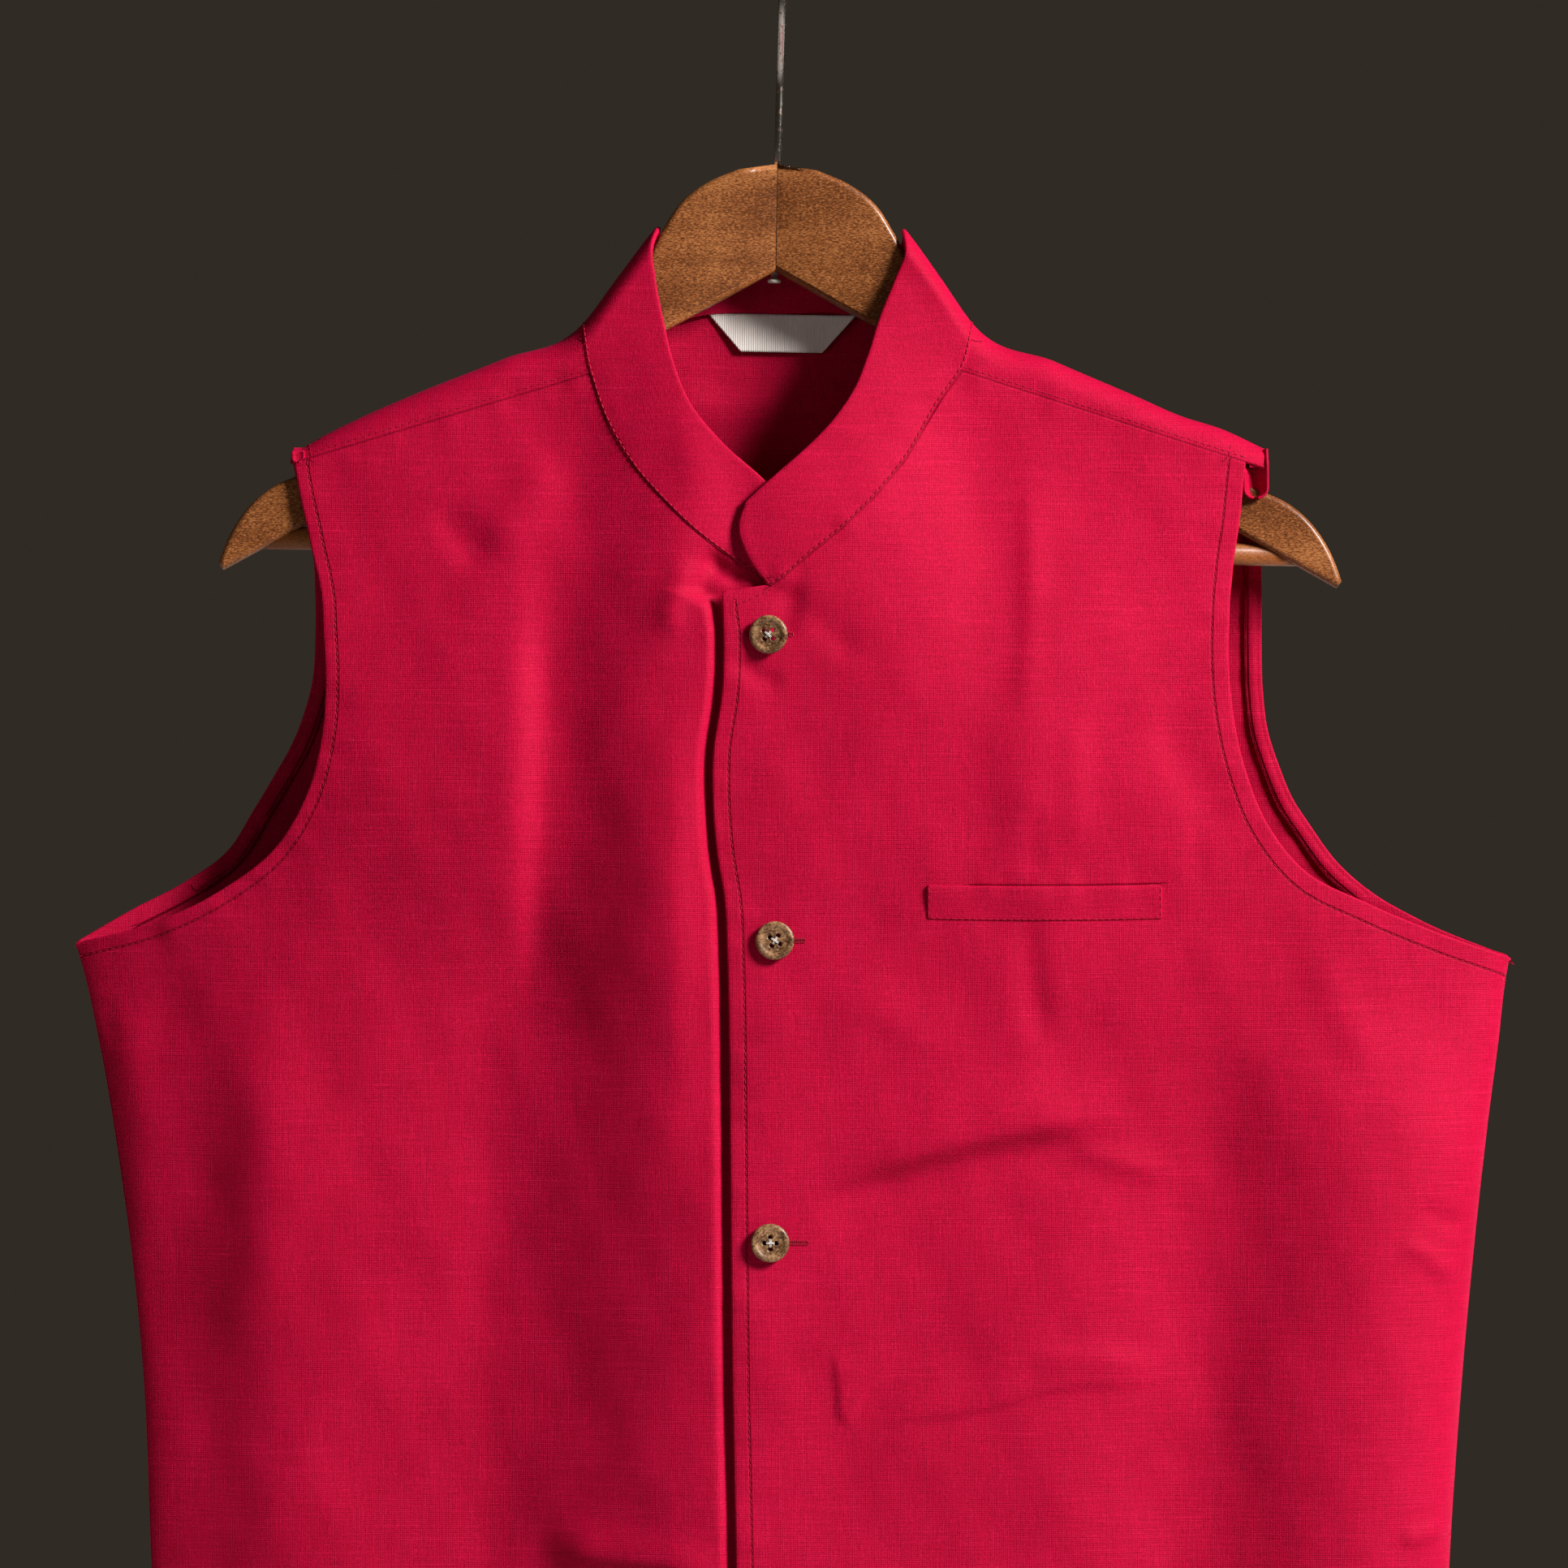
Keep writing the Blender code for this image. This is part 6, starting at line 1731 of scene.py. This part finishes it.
def build_hanger(wood_left, wood_right, wood_bar, steel, nut_finish):
    """Makes the hanger's arms, bar and hook, and the pale nut below its joint."""
    build_arm("arm_left_wood", "hanger_arm_left", -1.0, 1.0, wood_left)
    build_arm("arm_right_wood", "hanger_arm_right", 1.0, RIGHT_REACH, wood_right)
    middle = BAR_REACH * (RIGHT_REACH - 1.0) / 2.0
    half = BAR_REACH * (1.0 + RIGHT_REACH) / 2.0
    placing = hanger_frame()
    ends = [placing @ Vector((middle + way * half, BAR_DOWN, 0.0)) for way in (-1.0, 1.0)]
    bar_line = [ends[0].lerp(ends[1], share) for share in np.linspace(0, 1, BAR_POINTS)]
    piece(tube("bar_wood", bar_line, BAR_RADIUS, BAR_SIDES, wood_bar), "hanger_wood", "hanger_bar")
    piece(tube("hook_wire_bent", hook_path(), WIRE_RADIUS, WIRE_SIDES, steel), "hook_wire", "hanger_hook")
    low = SHANK_END_Z - SHANK_NUT_HEIGHT * NUT_DOWN
    profile = [(wide * SHANK_NUT_RADIUS, height * SHANK_NUT_HEIGHT) for wide, height in NUT_PROFILE]
    nut = lathe("shank_nut", profile, NUT_SIDES, nut_finish)
    nut.matrix_world = Matrix.Translation((low * WOOD_X / WOOD_Z, 0.0, low))
    piece(nut, "hook_wire")


def build_stage():
    """Makes the pale floor, the soft light and the camera."""
    mesh = bpy.data.meshes.new("studio_floor")
    corners = ((-1.0, -1.0), (1.0, -1.0), (1.0, 1.0), (-1.0, 1.0))
    mesh.from_pydata([(x * FLOOR_REACH, y * FLOOR_REACH, FLOOR_Z) for x, y in corners], [], [(0, 1, 2, 3)])
    pale = new_finish("pale_floor", {"Base Color": FLOOR_COLOUR, "Roughness": 0.9})[0]
    new_object("studio_floor", mesh, pale)
    world = bpy.data.worlds.new("studio_world")
    world.use_nodes = True
    sky = world.node_tree.nodes["Background"]
    sky.inputs["Color"].default_value = WORLD_COLOUR
    sky.inputs["Strength"].default_value = WORLD_STRENGTH
    bpy.context.scene.world = world
    for name, spot, aim, size, degrees, power, colour in LIGHTS:
        data = bpy.data.lights.new(name, "AREA")
        data.size = size
        data.spread = math.radians(degrees)
        data.energy = power
        data.color = colour
        lamp = new_object(name, data)
        lamp.visible_glossy = name not in MATT_LIGHTS
        way = Vector(aim) - Vector(spot)
        lamp.matrix_world = Matrix.Translation(spot) @ way.to_track_quat("-Z", "Y").to_matrix().to_4x4()
    data = bpy.data.cameras.new("photo_camera")
    data.sensor_width = SENSOR
    data.lens = SENSOR * CAMERA_DISTANCE / FRAME_WIDTH
    data.clip_end = CLIP_END
    camera = new_object("photo_camera", data)
    camera.location = (0.0, -CAMERA_DISTANCE, FRAME_MIDDLE_Z)
    camera.rotation_euler = (math.radians(90.0), 0.0, 0.0)
    bpy.context.scene.camera = camera
    bpy.context.scene.view_settings.view_transform = "Standard"


def main():
    cloth = cloth_finish("crimson_cloth", 0.0)
    slanted = cloth_finish("crimson_cloth_slanted", math.radians(45.0))
    grain_turn = math.radians(WOOD_GRAIN_TURN)
    wood_left = wood_finish("hanger_wood_left", grain_turn, WOOD_STOPS, 0.42, 0.22)
    wood_right = wood_finish("hanger_wood_right", -grain_turn, WOOD_STOPS, 0.42, 0.22)
    wood_bar = wood_finish("hanger_wood_bar", 0.0, BAR_STOPS, 0.5, 0.08)
    white_thread = thread_finish("button_thread", BUTTON_THREAD_COLOUR, 0.6)
    pale_metal = thread_finish("nut_metal", NUT_COLOUR, 0.4)

    right, right_face = front_shell(
        "right_front_cloth", RIGHT_TABLE, LEFT_SIDE, LEFT_UNDERARM_Z, UNDERLAP_X, True, cloth)
    piece(right, "cloth", "right_front")
    left, left_face = front_shell(
        "left_front_cloth", LEFT_TABLE, RIGHT_SIDE, RIGHT_UNDERARM_Z, None, False, cloth)
    piece(left, "cloth", "left_front")
    back, back_face = back_shell(cloth)
    piece(back, "cloth", "back")
    collar, collar_face = collar_shell(slanted)
    piece(collar, "cloth", "collar")
    welt, welt_face = welt_shell(slanted)
    piece(welt, "cloth", "chest_welt")
    for side, x_column, z_column, inwards in (("left", 0, 1, 1.0), ("right", 2, 3, -1.0)):
        strip, strip_face = facing_shell("facing_" + side + "_cloth", x_column, z_column, inwards, cloth)
        piece(strip, "cloth", "armhole_facing_" + side)
    thread = thread_finish("crimson_thread", THREAD_COLOUR, 0.6)
    slit_shade_thread = thread_finish("buttonhole_painted_shade", SLIT_PAINTED_SHADE, 0.8)
    build_stitches(collar_face, welt_face, thread)
    build_buttonholes(thread, slit_shade_thread)
    for number, table in enumerate(TONGUES, start=1):
        build_tongue(f"shoulder_roll_{number}", table, cloth)
    label, label_face = label_shell(label_finish())
    piece(label, "label", "neck_label")
    shell_finish = button_finish()
    for number, row in enumerate(BUTTONS, start=1):
        build_button(number, row, shell_finish, white_thread)
    build_hanger(wood_left, wood_right, wood_bar, hook_finish(), pale_metal)
    build_stage()


main()
